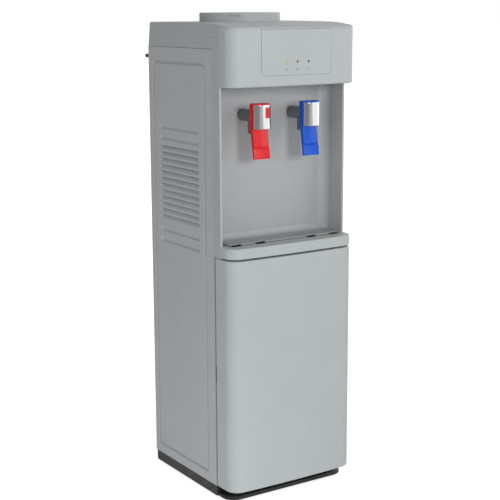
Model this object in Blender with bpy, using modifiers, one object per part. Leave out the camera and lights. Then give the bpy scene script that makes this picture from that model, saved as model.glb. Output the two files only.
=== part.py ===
"""Free-standing water dispenser: bottle on top, hot and cold taps, drip tray and storage cabinet.

Units are metres. +Z is up, the front faces -Y and +X is the viewer's right.
The origin is on the floor, in the middle of the overall width and depth.
"""
import math

import bmesh
import bpy
from mathutils import Matrix, Vector

# Clearances that all pieces share
SEAT_GAP = 0.0003          # between two pieces that seat on each other
SLIDE_GAP = 0.0006         # round a piece that lifts or slides
CUT_OVERRUN = 0.004        # how far a cutter runs past the face that it cuts
WELD_DISTANCE = 0.00001    # merge distance of turned shapes and converted curves

# Overall body
BODY_WIDTH = 0.310
OVERALL_DEPTH = 0.360      # header face to the back of the condenser
HEADER_PROUD = 0.0042      # header face in front of the door face
CONDENSER_SPACE = 0.0242   # side panels' rear edge to the back of the condenser
FRONT_BOW = 0.0038         # how far the middle of the front stands before its corners
CORNER_RADIUS = 0.0275
EDGE_SOFTENING = 0.0015    # small rounding of moulded edges

# Heights, stacked from the floor
FOOT_PROUD = 0.003
PLINTH_HEIGHT = 0.023
DOOR_BOTTOM_GAP = 0.0013
DOOR_HEIGHT = 0.4917
SHELF_SEAM = 0.0048
SHELF_THICKNESS = 0.0218
RECESS_HEIGHT = 0.3201
HEADER_HEIGHT = 0.1168
COVER_REAR_RISE = 0.0083   # cover's rear edge above the header's top edge
COVER_CROWN = 0.0004       # cover's highest line above its rear edge
COLLAR_RISE = 0.0187       # collar rim above the cover's rear edge

# Depths behind the door face
SPLIT_DEPTH = 0.0423       # seam plane of header, shelf and recess panel
DOOR_DEPTH = 0.0628
DOOR_SEAM = 0.006
FRAME_EDGE = 0.002
RECESS_DEPTH = 0.1058

# Plinth and feet
PLINTH_INSET = 0.0014
PLINTH_WALL = 0.003
PLINTH_LIP_HEIGHT = 0.008
PLINTH_LIP_SETBACK = 0.0242   # front lip behind the door face
PLINTH_LIP_INSET = 0.005
FOOT_RADIUS = 0.014
FOOT_INSET = 0.030
FOOT_CHAMFER = 0.001
MOUNT_BOSS_RADIUS = 0.007
MOUNT_BOSS_HEIGHT = 0.010

# Side panels
SHEET = 0.0015
PANEL_TOP_DROP = 0.0425       # cover's side seam below the header's top edge
GROOVE_TUBE_RADIUS = 0.004
GROOVE_DEPTH = 0.0007
GROOVE_FRONT_MARGIN = 0.0305
GROOVE_REAR_MARGIN = 0.0198
GROOVE_BOTTOM_MARGIN = 0.023
GROOVE_TOP_MARGIN = 0.032
GROOVE_CORNER_RADIUS = 0.016
LOUVRE_COUNT = 12
LOUVRE_PITCH = 0.01365
LOUVRE_LENGTH = 0.164
LOUVRE_OPENING = 0.0083
LOUVRE_BLADE = 0.0008
LOUVRE_DEPTH = 0.0034
LOUVRE_CENTRE_ABOVE_SHELF = 0.1067
BLIND_RIB_DEPTH = 0.0008
BLIND_RIB_HEIGHT = 0.010
BLIND_RIB_GAP = 0.0085        # extra step between the blind ribs and the louvres
BLIND_RIB_PITCH = 0.0233
REAR_FLANGE = 0.014

# Moulded walls
WALL = 0.0025
HEADER_WALL = 0.003
FRAME_BAR = 0.014
FRAME_RIM = 0.010
FRAME_TUCK = 0.0018           # rim inside the side panel's outer face
RECESS_SIDE = 0.005
RECESS_CORNER_RADIUS = 0.020
RECESS_COVE_RADIUS = 0.0145
COVE_EDGE = 0.0012
HEADER_BACK_CLEARANCE = 0.0045

# Top cover
COVER_SKIRT_DROP_REAR = 0.0543
COVER_SKIRT_DROP_FRONT = 0.0205
COVER_SHOULDER = 0.0127       # side skirt starts this far behind the panel's front edge
COVER_REAR_OVERHANG = 0.0057
COVER_REAR_SLOPE = 0.0095
COVER_EDGE_RADIUS = 0.004

# Bottle seat
COLLAR_RADIUS = 0.0856
COLLAR_CENTRE_OFFSET = 0.042  # behind the middle of the cabinet
COLLAR_RIM = 0.0095
COLLAR_ROUND = 0.0025
COLLAR_SLOT_WIDTH = 0.023
COLLAR_SLOT_HEIGHT = 0.004
COLLAR_SLOT_DROP = 0.0065
COLLAR_SLOT_ANGLE = -130.0    # degrees from +X
WELL_DEPTH = 0.0138
WELL_LEDGE = 0.014
SEAT_SHELL = 0.0025
SEAT_CONE_DROP = 0.030
SEAT_NECK_RADIUS = 0.022
SEAT_NECK_LENGTH = 0.060
SPIKE_RADIUS = 0.011
SPIKE_BORE = 0.007
SPIKE_FLANGE = 0.0034
SPIKE_TIP_DROP = 0.012        # spike tip below the collar rim

# Header fittings
INDICATOR_WIDTH = 0.172
INDICATOR_BOTTOM = 0.0213     # panel's lower edge above the header's lower edge
INDICATOR_DEPTH = 0.002
INDICATOR_RADIUS = 0.010
LAMP_SPACING = 0.027
LAMP_HEIGHT = 0.0483          # lamps above the header's lower edge
LAMP_RADIUS = 0.0026
LAMP_LENGTH = 0.010
LAMP_DOME = 0.001
LAMP_SETBACK = 0.0002
BOARD_WIDTH = 0.090
BOARD_HEIGHT = 0.030
BOARD_THICKNESS = 0.0016
BOARD_POST = 0.006

# Shelf and drip tray
POCKET_SIDE = 0.017           # pocket edge inside the body's side
POCKET_FRONT = 0.0238         # pocket edge behind the shelf's front face
POCKET_REAR = 0.018           # pocket edge before the recess's back wall
POCKET_FLOOR = 0.0025
POCKET_CORNER = 0.008
TRAY_WALL = 0.0015
TRAY_PROUD = 0.0008
TRAY_RIM = 0.0125
PLATE_THICKNESS = 0.0026
NOTCH_WIDTH = 0.024
NOTCH_DEPTH = 0.007
NOTCH_INNER_SPACING = 0.128
NOTCH_SIDE = 0.015            # outer notches' middle inside the pocket's edge

# Door
DOOR_WALL = 0.0025
DOOR_LINER = 0.002
DOOR_LINER_DISH = 0.0008
DOOR_LINER_BORDER = 0.018
HINGE_INSET = 0.008
HINGE_PIN_RADIUS = 0.002
HINGE_PIN_CLEARANCE = 0.0001
HINGE_PIN_LENGTH = 0.007
HINGE_PLATE = 0.0012
HINGE_PLATE_WIDTH = 0.015
HINGE_PLATE_CLEARANCE = 0.0005
HINGE_LEG = 0.014
CATCH_WIDTH = 0.010
CATCH_HEIGHT = 0.036
CATCH_CLEARANCE = 0.001

# Storage liner
LINER_WALL = 0.002
LINER_COMPRESSOR_SPACE = 0.0165
LINER_STEP_HEIGHT = 0.192
LINER_REAR_SPACE = 0.0422     # for the lines before the back sheet

# Taps
TAP_SPACING = 0.123
TAP_DROP = 0.0617             # tap axis below the header's lower edge
TAP_REACH = 0.0835            # cap face before the recess's back wall
TAP_RADIUS = 0.0125
TAP_BORE = 0.005
SPOUT_BORE = 0.0044
TAP_FLANGE_RADIUS = 0.019
TAP_FLANGE = 0.003
TAP_STUB_RADIUS = 0.009
TAP_STUB_LENGTH = 0.020
TAP_FRONT_CLEARANCE = 0.0085
SPOUT_RADIUS = 0.0085
SPOUT_SETBACK = 0.0365        # spout axis before the recess's back wall
SPOUT_DROP = 0.036
CAP_WIDTH = 0.0387
CAP_HEIGHT = 0.048
CAP_CURVE = 0.030
CAP_THICKNESS = 0.002
HEAD_SIDE_DEPTH = 0.0255
HEAD_TOP_RISE = 0.003
HEAD_FRONT_WALL = 0.0072
HEAD_CHEEK = 0.0025
PIVOT_SETBACK = 0.0045        # pivot before the lever head's rear edge
PIVOT_RISE = 0.008
PIVOT_RADIUS = 0.002
PIVOT_CLEARANCE = 0.0001
PADDLE_WIDTH = 0.0385
PADDLE_DROP = 0.085           # paddle tip below the tap axis
PADDLE_THICKNESS = 0.004
PADDLE_ROOT_SETBACK = 0.019
PADDLE_TIP_SETBACK = 0.0095
PADDLE_PAD_HEIGHT = 0.022
PADDLE_PAD_THICKNESS = 0.0025
PADDLE_PAD_MARGIN = 0.001
LOCK_LEFT = 0.003             # lock's left edge from the lever's middle
LOCK_RIGHT = 0.0155
LOCK_HEIGHT = 0.021
LOCK_TOP_DROP = 0.005         # lock's top edge below the cap's top edge
LOCK_PROUD = 0.0006
LOCK_FLANGE = 0.001

# Rear
REAR_SHEET = 0.0015
SERVICE_SIDE = 0.060          # service opening's edge inside the body's side
SERVICE_BOTTOM = 0.006
SERVICE_HEIGHT = 0.185
STUD_SIZE = 0.008
STUD_LENGTH = 0.014
STUD_DROP = 0.002
SWITCH_PLATE_WIDTH = 0.090
SWITCH_PLATE_HEIGHT = 0.040
SWITCH_PLATE_THICKNESS = 0.003
SWITCH_PLATE_DROP = 0.068     # plate's middle below the cover's side seam
SWITCH_SPACING = 0.044
ROCKER_WIDTH = 0.012
ROCKER_HEIGHT = 0.020
ROCKER_RADIUS = 0.016
ROCKER_TILT = 8.0             # degrees that a rocker leans at rest
ROCKER_PROUD = 0.002
GLAND_RADIUS = 0.008
GLAND_BORE = 0.0035
GLAND_NECK = 0.0055
GLAND_LENGTH = 0.008
GLAND_COLLAR = 0.0032
PORT_INSET = 0.035            # drain port and cord gland inside the body's sides
PORT_HEIGHT = 0.060
PORT_RADIUS = 0.007
PORT_BORE = 0.004
PORT_LENGTH = 0.012
PLUG_RADIUS = 0.009
PLUG_LENGTH = 0.008

# Condenser
CONDENSER_TUBE = 0.0024
CONDENSER_SIDE = 0.040        # bends inside the body's sides
CONDENSER_RUNS = 10
CONDENSER_PITCH = 0.060
CONDENSER_BOTTOM = 0.240
GRID_THICKNESS = 0.0016
GRID_BARS = 15
GRID_BAR_SHARE = 0.16
GRID_STANDOFF = 0.010

# Cooling and heating
COMPRESSOR_RADIUS = 0.064
COMPRESSOR_HEIGHT = 0.150
COMPRESSOR_X = 0.010
COMPRESSOR_REAR = 0.085       # axis before the panels' rear edge
COMPRESSOR_FOOT_WIDTH = 0.170
COMPRESSOR_FOOT_DEPTH = 0.110
COMPRESSOR_PLATE = 0.003
STUB_RADIUS = 0.0035
STUB_LENGTH = 0.013
STUB_HEIGHT = 0.120
DRIER_RADIUS = 0.009
DRIER_LENGTH = 0.090
DRIER_X = 0.085
LINE_RADIUS = 0.003
TANK_SHELF_SHEET = 0.002
TANK_SHELF_RISE = 0.010       # shelf above the recess panel's floor
TANK_SHELF_REAR_SPACE = 0.0357
CRADLE_SHEET = 0.0015
CRADLE_HEIGHT = 0.155
CRADLE_FRONT_SPACE = 0.0375   # cradle behind the tank shelf's front edge
JACKET_FRONT_SPACE = 0.0225   # foam jacket behind the recess wall
JACKET_REAR_SPACE = 0.0175    # foam jacket before the back sheet
FOAM_WALL = 0.011
FOAM_HEIGHT = 0.210
FOAM_FLOOR = 0.022
TANK_SPACE = 0.009            # coil space between the cold tank and the foam
COLD_TANK_HEIGHT = 0.175
TANK_WALL = 0.0015
COIL_TURNS = 5
COIL_BULGE = 0.0055
SPIGOT_RADIUS = 0.004
SPIGOT_BORE = 0.0025
SPIGOT_LENGTH = 0.034
HOT_TANK_SPACE = 0.0275       # hot tank inside the cradle's front and rear edges
HOT_TANK_HEIGHT = 0.118
HOT_TANK_X = -0.022
HOT_TANK_SIDE_SPACE = 0.013  # hot tank inside the cradle's left side
HEATER_THICKNESS = 0.003
HEATER_HEIGHT = 0.032
HEATER_RISE = 0.030
HOSE_RADIUS = 0.005

# Derived planes and levels
half_width = BODY_WIDTH / 2
header_face = -OVERALL_DEPTH / 2
door_face = header_face + HEADER_PROUD
panel_rear = OVERALL_DEPTH / 2 - CONDENSER_SPACE
split_plane = door_face + SPLIT_DEPTH
door_rear = door_face + DOOR_DEPTH
frame_face = door_rear + DOOR_SEAM
panel_front = frame_face + FRAME_EDGE
recess_back = door_face + RECESS_DEPTH
cabinet_middle = (door_face + panel_rear) / 2
collar_y = cabinet_middle + COLLAR_CENTRE_OFFSET
back_sheet_front = panel_rear - SHEET - SEAT_GAP - REAR_SHEET
jacket_front = recess_back + WALL + JACKET_FRONT_SPACE
jacket_rear = back_sheet_front - JACKET_REAR_SPACE
tank_y = (jacket_front + jacket_rear) / 2
foam_radius = (jacket_rear - jacket_front) / 2
cold_tank_radius = foam_radius - FOAM_WALL - TANK_SPACE
tank_shelf_front = recess_back + WALL + SEAT_GAP
tank_shelf_rear = back_sheet_front - TANK_SHELF_REAR_SPACE
cradle_front = tank_shelf_front + CRADLE_FRONT_SPACE
cradle_rear = tank_shelf_rear - SHEET
hot_tank_radius = (cradle_rear - cradle_front) / 2 - HOT_TANK_SPACE
cradle_half = hot_tank_radius - HOT_TANK_X + HOT_TANK_SIDE_SPACE

plinth_top = FOOT_PROUD + PLINTH_HEIGHT
door_bottom = plinth_top + DOOR_BOTTOM_GAP
door_top = door_bottom + DOOR_HEIGHT
shelf_bottom = door_top + SHELF_SEAM
shelf_top = shelf_bottom + SHELF_THICKNESS
header_bottom = shelf_top + RECESS_HEIGHT
header_top = header_bottom + HEADER_HEIGHT
cover_rear_top = header_top + COVER_REAR_RISE
collar_top = cover_rear_top + COLLAR_RISE
seam_level = header_top - PANEL_TOP_DROP
recess_floor = shelf_bottom - SEAT_GAP
frame_top = recess_floor - WALL - SEAT_GAP
tap_level = header_bottom - TAP_DROP
cap_face = recess_back - TAP_REACH
tank_shelf_top = recess_floor + TANK_SHELF_RISE
cradle_top = tank_shelf_top + SEAT_GAP + CRADLE_HEIGHT
compressor_y = panel_rear - COMPRESSOR_REAR
pocket_width = BODY_WIDTH - 2 * POCKET_SIDE
service_width = BODY_WIDTH - 2 * SERVICE_SIDE
condenser_width = BODY_WIDTH - 2 * CONDENSER_SIDE
port_x = PORT_INSET - half_width
gland_x = half_width - PORT_INSET

CURVE_STEPS = 4
ROUND_STEPS = 32
SMALL_STEPS = 16
TAP_STEPS = 20
TANK_STEPS = 24


def start_scene():
    """Empty the scene and make the collections for the parts and the cutters."""
    for obj in list(bpy.data.objects):
        bpy.data.objects.remove(obj, do_unlink=True)
    parts = bpy.data.collections.new("water_dispenser")
    tools = bpy.data.collections.new("cutters")
    bpy.context.scene.collection.children.link(parts)
    bpy.context.scene.collection.children.link(tools)
    return parts, tools


PARTS, TOOLS = start_scene()


def material(name, colour, roughness, metallic=0.0):
    """A Principled material in the part's own colour."""
    mat = bpy.data.materials.new(name)
    mat.use_nodes = True
    shader = mat.node_tree.nodes["Principled BSDF"]
    shader.inputs["Base Color"].default_value = (*colour, 1.0)
    shader.inputs["Roughness"].default_value = roughness
    shader.inputs["Metallic"].default_value = metallic
    mat.diffuse_color = (*colour, 1.0)
    return mat


SILVER = material("silver_plastic", (0.47, 0.51, 0.51), 0.45)
PANEL = material("grey_sheet", (0.36, 0.37, 0.38), 0.5)
RECESS = material("recess_grey", (0.38, 0.40, 0.41), 0.4)
TRAY = material("tray_grey", (0.22, 0.23, 0.23), 0.5)
DARK = material("dark_plastic", (0.045, 0.046, 0.045), 0.55)
RED = material("red_plastic", (0.75, 0.03, 0.04), 0.35)
BLUE = material("blue_plastic", (0.01, 0.11, 0.62), 0.35)
CHROME = material("chrome", (0.82, 0.82, 0.83), 0.12, 1.0)
STEEL = material("stainless_steel", (0.62, 0.62, 0.60), 0.3, 1.0)
ZINC = material("zinc_steel", (0.50, 0.51, 0.52), 0.45, 1.0)
BLACK = material("black_enamel", (0.012, 0.012, 0.013), 0.4)
COPPER = material("copper", (0.72, 0.36, 0.22), 0.3, 1.0)
FOAM = material("white_foam", (0.85, 0.86, 0.85), 0.9)
WHITE = material("white_plastic", (0.72, 0.73, 0.72), 0.45)
SILICONE = material("silicone_hose", (0.70, 0.72, 0.70), 0.5)
BOARD = material("circuit_board", (0.02, 0.16, 0.06), 0.5)
GREEN_LAMP = material("green_lamp", (0.35, 0.62, 0.12), 0.25)
RED_LAMP = material("red_lamp", (0.45, 0.03, 0.12), 0.25)
DARK_LAMP = material("dark_lamp", (0.02, 0.03, 0.02), 0.25)
RUBBER = material("black_rubber", (0.02, 0.02, 0.02), 0.8)


def add_tool(name, data, location=(0, 0, 0), rotation=(0, 0, 0)):
    """Put data in the cutters' collection; as_part moves it to the parts."""
    obj = bpy.data.objects.new(name, data)
    obj.location = location
    obj.rotation_euler = rotation
    obj.hide_render = True
    obj.display_type = "WIRE"
    TOOLS.objects.link(obj)
    return obj


def as_part(obj, mat, parent=None):
    """Make a shape one of the object's pieces, with its material and its parent."""
    TOOLS.objects.unlink(obj)
    PARTS.objects.link(obj)
    obj.hide_render = False
    obj.display_type = "TEXTURED"
    obj.data.materials.clear()
    obj.data.materials.append(mat)
    if parent is not None:
        obj.parent = parent
        obj.location = obj.location - parent.location
    return obj


def joint_axis(name, location):
    """An empty that stands on a joint's axis and carries the moving pieces."""
    empty = bpy.data.objects.new(name, None)
    empty.location = location
    empty.empty_display_size = HINGE_PLATE_WIDTH
    PARTS.objects.link(empty)
    return empty


def mesh_from(name, bm):
    mesh = bpy.data.meshes.new(name)
    bmesh.ops.recalc_face_normals(bm, faces=bm.faces)
    bm.to_mesh(mesh)
    bm.free()
    return mesh


def middle(span):
    return (span[0] + span[1]) / 2


def add_box(bm, x, y, z):
    """Add a box between the given spans to a bmesh."""
    made = bmesh.ops.create_cube(bm, size=1.0)
    size = Matrix.Diagonal((x[1] - x[0], y[1] - y[0], z[1] - z[0], 1.0))
    place = Matrix.Translation((middle(x), middle(y), middle(z)))
    bmesh.ops.transform(bm, matrix=place @ size, verts=made["verts"])
    return made["verts"]


def block(name, x, y, z):
    """A box between three spans, with its origin in its middle."""
    centre = Vector((middle(x), middle(y), middle(z)))
    bm = bmesh.new()
    add_box(bm, x, y, z)
    bmesh.ops.translate(bm, vec=-centre, verts=bm.verts)
    return add_tool(name, mesh_from(name, bm), centre)


def boxes(name, spans):
    """Several boxes in one cutter."""
    bm = bmesh.new()
    for x, y, z in spans:
        add_box(bm, x, y, z)
    return add_tool(name, mesh_from(name, bm))


def prism(name, outline, depth, location, rotation):
    """A flat outline, filled and extruded to a depth, as a mesh."""
    curve = bpy.data.curves.new(name, "CURVE")
    curve.dimensions = "2D"
    curve.fill_mode = "BOTH"
    curve.extrude = depth / 2
    loops = outline if isinstance(outline[0], list) else [outline]
    for loop in loops:
        spline = curve.splines.new("POLY")
        spline.points.add(len(loop) - 1)
        for point, (u, v) in zip(spline.points, loop):
            point.co = (u, v, 0, 1)
        spline.use_cyclic_u = True
    shape = bpy.data.objects.new(name + "_outline", curve)
    TOOLS.objects.link(shape)
    mesh = bake(shape, name)
    return add_tool(name, mesh, location, rotation)


def bake(shape, name):
    """The evaluated mesh of a curve object, welded; the curve is removed."""
    graph = bpy.context.evaluated_depsgraph_get()
    mesh = bpy.data.meshes.new_from_object(shape.evaluated_get(graph))
    bm = bmesh.new()
    bm.from_mesh(mesh)
    bmesh.ops.remove_doubles(bm, verts=bm.verts, dist=WELD_DISTANCE)
    bpy.data.meshes.remove(mesh)
    bpy.data.objects.remove(shape, do_unlink=True)
    return mesh_from(name, bm)


def plan_prism(name, outline, z):
    """An outline of (x, y) points, extruded over a span of z."""
    return prism(name, outline, z[1] - z[0], (0, 0, middle(z)), (0, 0, 0))


def side_prism(name, outline, x):
    """An outline of (y, z) points, extruded over a span of x."""
    turn = (math.pi / 2, 0, math.pi / 2)
    return prism(name, outline, x[1] - x[0], (middle(x), 0, 0), turn)


def front_prism(name, outline, y):
    """An outline of (x, z) points, extruded over a span of y."""
    return prism(name, outline, y[1] - y[0], (0, middle(y), 0), (math.pi / 2, 0, 0))


def turned(name, profile, centre, direction="Z", steps=ROUND_STEPS, closed=False):
    """A profile of (radius, height) points, top to bottom on its outer side, turned once round."""
    mesh = bpy.data.meshes.new(name)
    points = [(radius, 0, height) for radius, height in profile]
    edges = [(i, i + 1) for i in range(len(points) - 1)]
    if closed:
        edges.append((len(points) - 1, 0))
    mesh.from_pydata(points, edges, [])
    turns = {"Z": (0, 0, 0), "X": (0, math.pi / 2, 0), "-X": (0, -math.pi / 2, 0),
             "Y": (-math.pi / 2, 0, 0), "-Y": (math.pi / 2, 0, 0)}
    obj = add_tool(name, mesh, centre, turns[direction])
    screw = obj.modifiers.new("turn", "SCREW")
    screw.axis = "Z"
    screw.angle = math.tau
    screw.steps = steps
    screw.render_steps = steps
    screw.use_merge_vertices = True
    screw.merge_threshold = WELD_DISTANCE
    screw.use_smooth_shade = True
    return obj


def rod(name, radius, length, centre, direction="Z", steps=SMALL_STEPS):
    """A plain cylinder that starts at centre and runs along direction."""
    profile = [(0, length), (radius, length), (radius, 0), (0, 0)]
    return turned(name, profile, centre, direction, steps)


def tube(name, points, radius, resolution=2):
    """A round tube along a smooth path through points."""
    curve = bpy.data.curves.new(name, "CURVE")
    curve.dimensions = "3D"
    curve.bevel_depth = radius
    curve.bevel_resolution = resolution
    curve.use_fill_caps = True
    spline = curve.splines.new("POLY")
    spline.points.add(len(points) - 1)
    for point, place in zip(spline.points, points):
        point.co = (*place, 1)
    spline.use_smooth = True
    return add_tool(name, curve)


def smooth_path(points, steps=2):
    """Points on a Catmull-Rom curve through the given points, straight at both ends."""
    places = [Vector(p) for p in points]
    path = [places[0]]
    for i in range(1, len(places) - 2):
        a, b, c, d = places[i - 1:i + 3]
        for k in range(steps):
            t = k / steps
            path.append(0.5 * (2 * b + (c - a) * t + (2 * a - 5 * b + 4 * c - d) * t ** 2
                               + (3 * b - a - 3 * c + d) * t ** 3))
    path += places[-2:]
    return path


def combine(target, tool, operation):
    step = target.modifiers.new(operation.lower() + "_" + tool.name, "BOOLEAN")
    step.operation = operation
    step.solver = "EXACT"
    step.object = tool
    return target


def cut(target, tool):
    return combine(target, tool, "DIFFERENCE")


def fuse(target, tool):
    return combine(target, tool, "UNION")


def keep_common(target, tool):
    return combine(target, tool, "INTERSECT")


def soften(obj, width, segments=2, angle=50.0):
    """Round the sharp edges that the shape has so far."""
    bevel = obj.modifiers.new("soften", "BEVEL")
    bevel.width = width
    bevel.segments = segments
    bevel.limit_method = "ANGLE"
    bevel.angle_limit = math.radians(angle)
    bevel.use_clamp_overlap = True
    return obj


def rounded(points, radii, steps=CURVE_STEPS):
    """A closed outline with its corners rounded by the given radii."""
    outline = []
    count = len(points)
    for i, radius in enumerate(radii):
        corner = Vector(points[i])
        before = Vector(points[i - 1]) - corner
        after = Vector(points[(i + 1) % count]) - corner
        if radius == 0:
            outline.append(tuple(corner))
            continue
        half = before.angle(after) / 2
        reach = radius / math.tan(half)
        start = corner + before.normalized() * reach
        end = corner + after.normalized() * reach
        bisector = (before.normalized() + after.normalized()).normalized()
        centre = corner + bisector * (radius / math.sin(half))
        first = start - centre
        sweep = first.angle_signed(end - centre)
        for k in range(steps + 1):
            turn = Matrix.Rotation(-sweep * k / steps, 2)
            outline.append(tuple(centre + turn @ first))
    return outline


def box_outline(u, v, radius=0.0, steps=CURVE_STEPS):
    """A rectangle between two spans, with equal round corners."""
    points = [(u[0], v[0]), (u[1], v[0]), (u[1], v[1]), (u[0], v[1])]
    return rounded(points, [radius] * 4, steps)


BOW_SHARES = (-0.66, -0.4, -0.15, 0.15, 0.4, 0.66)


def bowed_outline(face, rear, inset=0.0):
    """The body's plan: a bowed front with round corners, and straight sides back to rear."""
    half = half_width - inset
    corner_y = face + inset + FRONT_BOW
    points = [(-half, rear), (-half, corner_y)]
    radii = [0.0, CORNER_RADIUS - inset]
    for share in BOW_SHARES:
        points.append((share * half, corner_y - FRONT_BOW * (1 - share ** 2)))
        radii.append(0.0)
    points += [(half, corner_y), (half, rear)]
    radii += [CORNER_RADIUS - inset, 0.0]
    return rounded(points, radii)


def make_plinth():
    half = half_width - PLINTH_INSET
    rear = panel_rear - PLINTH_INSET
    plinth = block("plinth", (-half, half), (frame_face, rear), (FOOT_PROUD, plinth_top))
    lip_front = door_face + PLINTH_LIP_SETBACK
    lip_half = half_width - PLINTH_LIP_INSET
    lip_outline = rounded(
        [(-lip_half, frame_face + PLINTH_WALL), (-lip_half, lip_front), (lip_half, lip_front),
         (lip_half, frame_face + PLINTH_WALL)],
        [0.0, CORNER_RADIUS, CORNER_RADIUS, 0.0])
    lip = plan_prism("plinth_lip", lip_outline, (FOOT_PROUD, FOOT_PROUD + PLINTH_LIP_HEIGHT))
    fuse(plinth, lip)
    floor = FOOT_PROUD + PLINTH_WALL
    hollow = block("plinth_hollow", (-half + PLINTH_WALL, half - PLINTH_WALL),
                   (frame_face + PLINTH_WALL, rear - PLINTH_WALL), (floor, plinth_top + CUT_OVERRUN))
    cut(plinth, hollow)
    across = (COMPRESSOR_FOOT_WIDTH - 4 * MOUNT_BOSS_RADIUS) / 2
    along = (COMPRESSOR_FOOT_DEPTH - 4 * MOUNT_BOSS_RADIUS) / 2
    for i, (sx, sy) in enumerate(((-1, -1), (1, -1), (1, 1), (-1, 1))):
        place = (COMPRESSOR_X + sx * across, compressor_y + sy * along, floor - PLINTH_WALL / 2)
        boss = rod(f"mount_boss_{i}", MOUNT_BOSS_RADIUS, MOUNT_BOSS_HEIGHT + PLINTH_WALL / 2, place)
        fuse(plinth, boss)
    as_part(plinth, DARK)


def make_feet():
    """Four rubber pads under the plinth."""
    height = FOOT_PROUD - SEAT_GAP
    profile = [(0, height), (FOOT_RADIUS, height), (FOOT_RADIUS, FOOT_CHAMFER),
               (FOOT_RADIUS - FOOT_CHAMFER, 0), (0, 0)]
    x = half_width - FOOT_INSET
    corners = {"front_left": (-x, frame_face + FOOT_INSET), "front_right": (x, frame_face + FOOT_INSET),
               "rear_left": (-x, panel_rear - FOOT_INSET), "rear_right": (x, panel_rear - FOOT_INSET)}
    for place, (foot_x, foot_y) in corners.items():
        foot = turned("foot_" + place, profile, (foot_x, foot_y, 0), steps=SMALL_STEPS)
        as_part(foot, RUBBER)


def louvre_levels():
    """The middle heights of the pierced louvres, and of the blind ribs above and below them."""
    centre = shelf_top + LOUVRE_CENTRE_ABOVE_SHELF
    half_run = (LOUVRE_COUNT - 1) / 2 * LOUVRE_PITCH
    levels = [centre - half_run + i * LOUVRE_PITCH for i in range(LOUVRE_COUNT)]
    reach = half_run + LOUVRE_PITCH + BLIND_RIB_GAP
    ribs = [centre + reach, centre + reach + BLIND_RIB_PITCH,
            centre - reach - LOUVRE_OPENING / 2, centre - reach - LOUVRE_OPENING / 2 - BLIND_RIB_PITCH]
    return levels, ribs


def make_side_panel(name, side):
    """A steel side sheet with a pressed border, pierced louvres and a rear flange."""
    outer = side * half_width
    bottom = plinth_top + SEAT_GAP
    top = seam_level - SEAT_GAP
    rear = panel_rear
    front = panel_front + SEAT_GAP

    def across(near, far):
        """A span of x between two depths inside the panel's outer face."""
        return tuple(sorted((outer - side * near, outer - side * far)))

    panel = block(name, across(0, REAR_FLANGE), (front, rear), (bottom, top))
    inner = block(name + "_inner", across(SHEET, REAR_FLANGE + CUT_OVERRUN),
                  (front - CUT_OVERRUN, rear - SHEET), (bottom - CUT_OVERRUN, top + CUT_OVERRUN))
    cut(panel, inner)

    groove_path = box_outline((front + GROOVE_FRONT_MARGIN, rear - GROOVE_REAR_MARGIN),
                              (bottom + GROOVE_BOTTOM_MARGIN, top - GROOVE_TOP_MARGIN),
                              GROOVE_CORNER_RADIUS)
    groove_x = outer + side * (GROOVE_TUBE_RADIUS - GROOVE_DEPTH)
    groove = tube(name + "_groove_path", [(groove_x, y, z) for y, z in groove_path], GROOVE_TUBE_RADIUS)
    groove.data.splines[0].use_cyclic_u = True
    groove_mesh = bake(groove, name + "_groove")
    cut(panel, add_tool(name + "_groove", groove_mesh))

    levels, ribs = louvre_levels()
    middle_y = (front + GROOVE_FRONT_MARGIN + rear - GROOVE_REAR_MARGIN) / 2
    length = (middle_y - LOUVRE_LENGTH / 2, middle_y + LOUVRE_LENGTH / 2)
    slots = [(across(-CUT_OVERRUN, SHEET + CUT_OVERRUN), length,
              (z - LOUVRE_OPENING / 2, z + LOUVRE_OPENING / 2)) for z in levels]
    cut(panel, boxes(name + "_slots", slots))

    blades = bmesh.new()
    lean = math.atan2(LOUVRE_DEPTH, LOUVRE_OPENING)
    blade_height = math.hypot(LOUVRE_DEPTH, LOUVRE_OPENING) * 0.8
    for z in levels:
        verts = add_box(blades, (-LOUVRE_BLADE / 2, LOUVRE_BLADE / 2),
                        (length[0] - SHEET / 2, length[1] + SHEET / 2), (0, blade_height))
        turn = Matrix.Rotation(-side * lean, 4, "Y")
        foot = Matrix.Translation((outer - side * SHEET / 2, 0, z - LOUVRE_OPENING / 2 - LOUVRE_BLADE / 2))
        bmesh.ops.transform(blades, matrix=foot @ turn, verts=verts)
    fuse(panel, add_tool(name + "_blades", mesh_from(name + "_blades", blades)))

    rib_bm = bmesh.new()
    for z in ribs:
        verts = add_box(rib_bm, (0, BLIND_RIB_HEIGHT), length,
                        (-BLIND_RIB_HEIGHT / 2, BLIND_RIB_HEIGHT / 2))
        lean = math.atan2(BLIND_RIB_DEPTH, BLIND_RIB_HEIGHT)
        if side > 0:
            mirror = Matrix.Identity(4)
        else:
            mirror = Matrix.Rotation(math.pi, 4, "Z")
            mirror = mirror @ Matrix.Translation((0, -2 * middle_y, 0))
        turn = Matrix.Rotation(-lean, 4, "Y")
        start = Matrix.Translation((-BLIND_RIB_DEPTH / 2, 0, 0))
        place = Matrix.Translation((outer, 0, z))
        bmesh.ops.transform(rib_bm, matrix=place @ mirror @ start @ turn, verts=verts)
    cut(panel, add_tool(name + "_ribs", mesh_from(name + "_ribs", rib_bm)))
    as_part(panel, PANEL)


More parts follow.
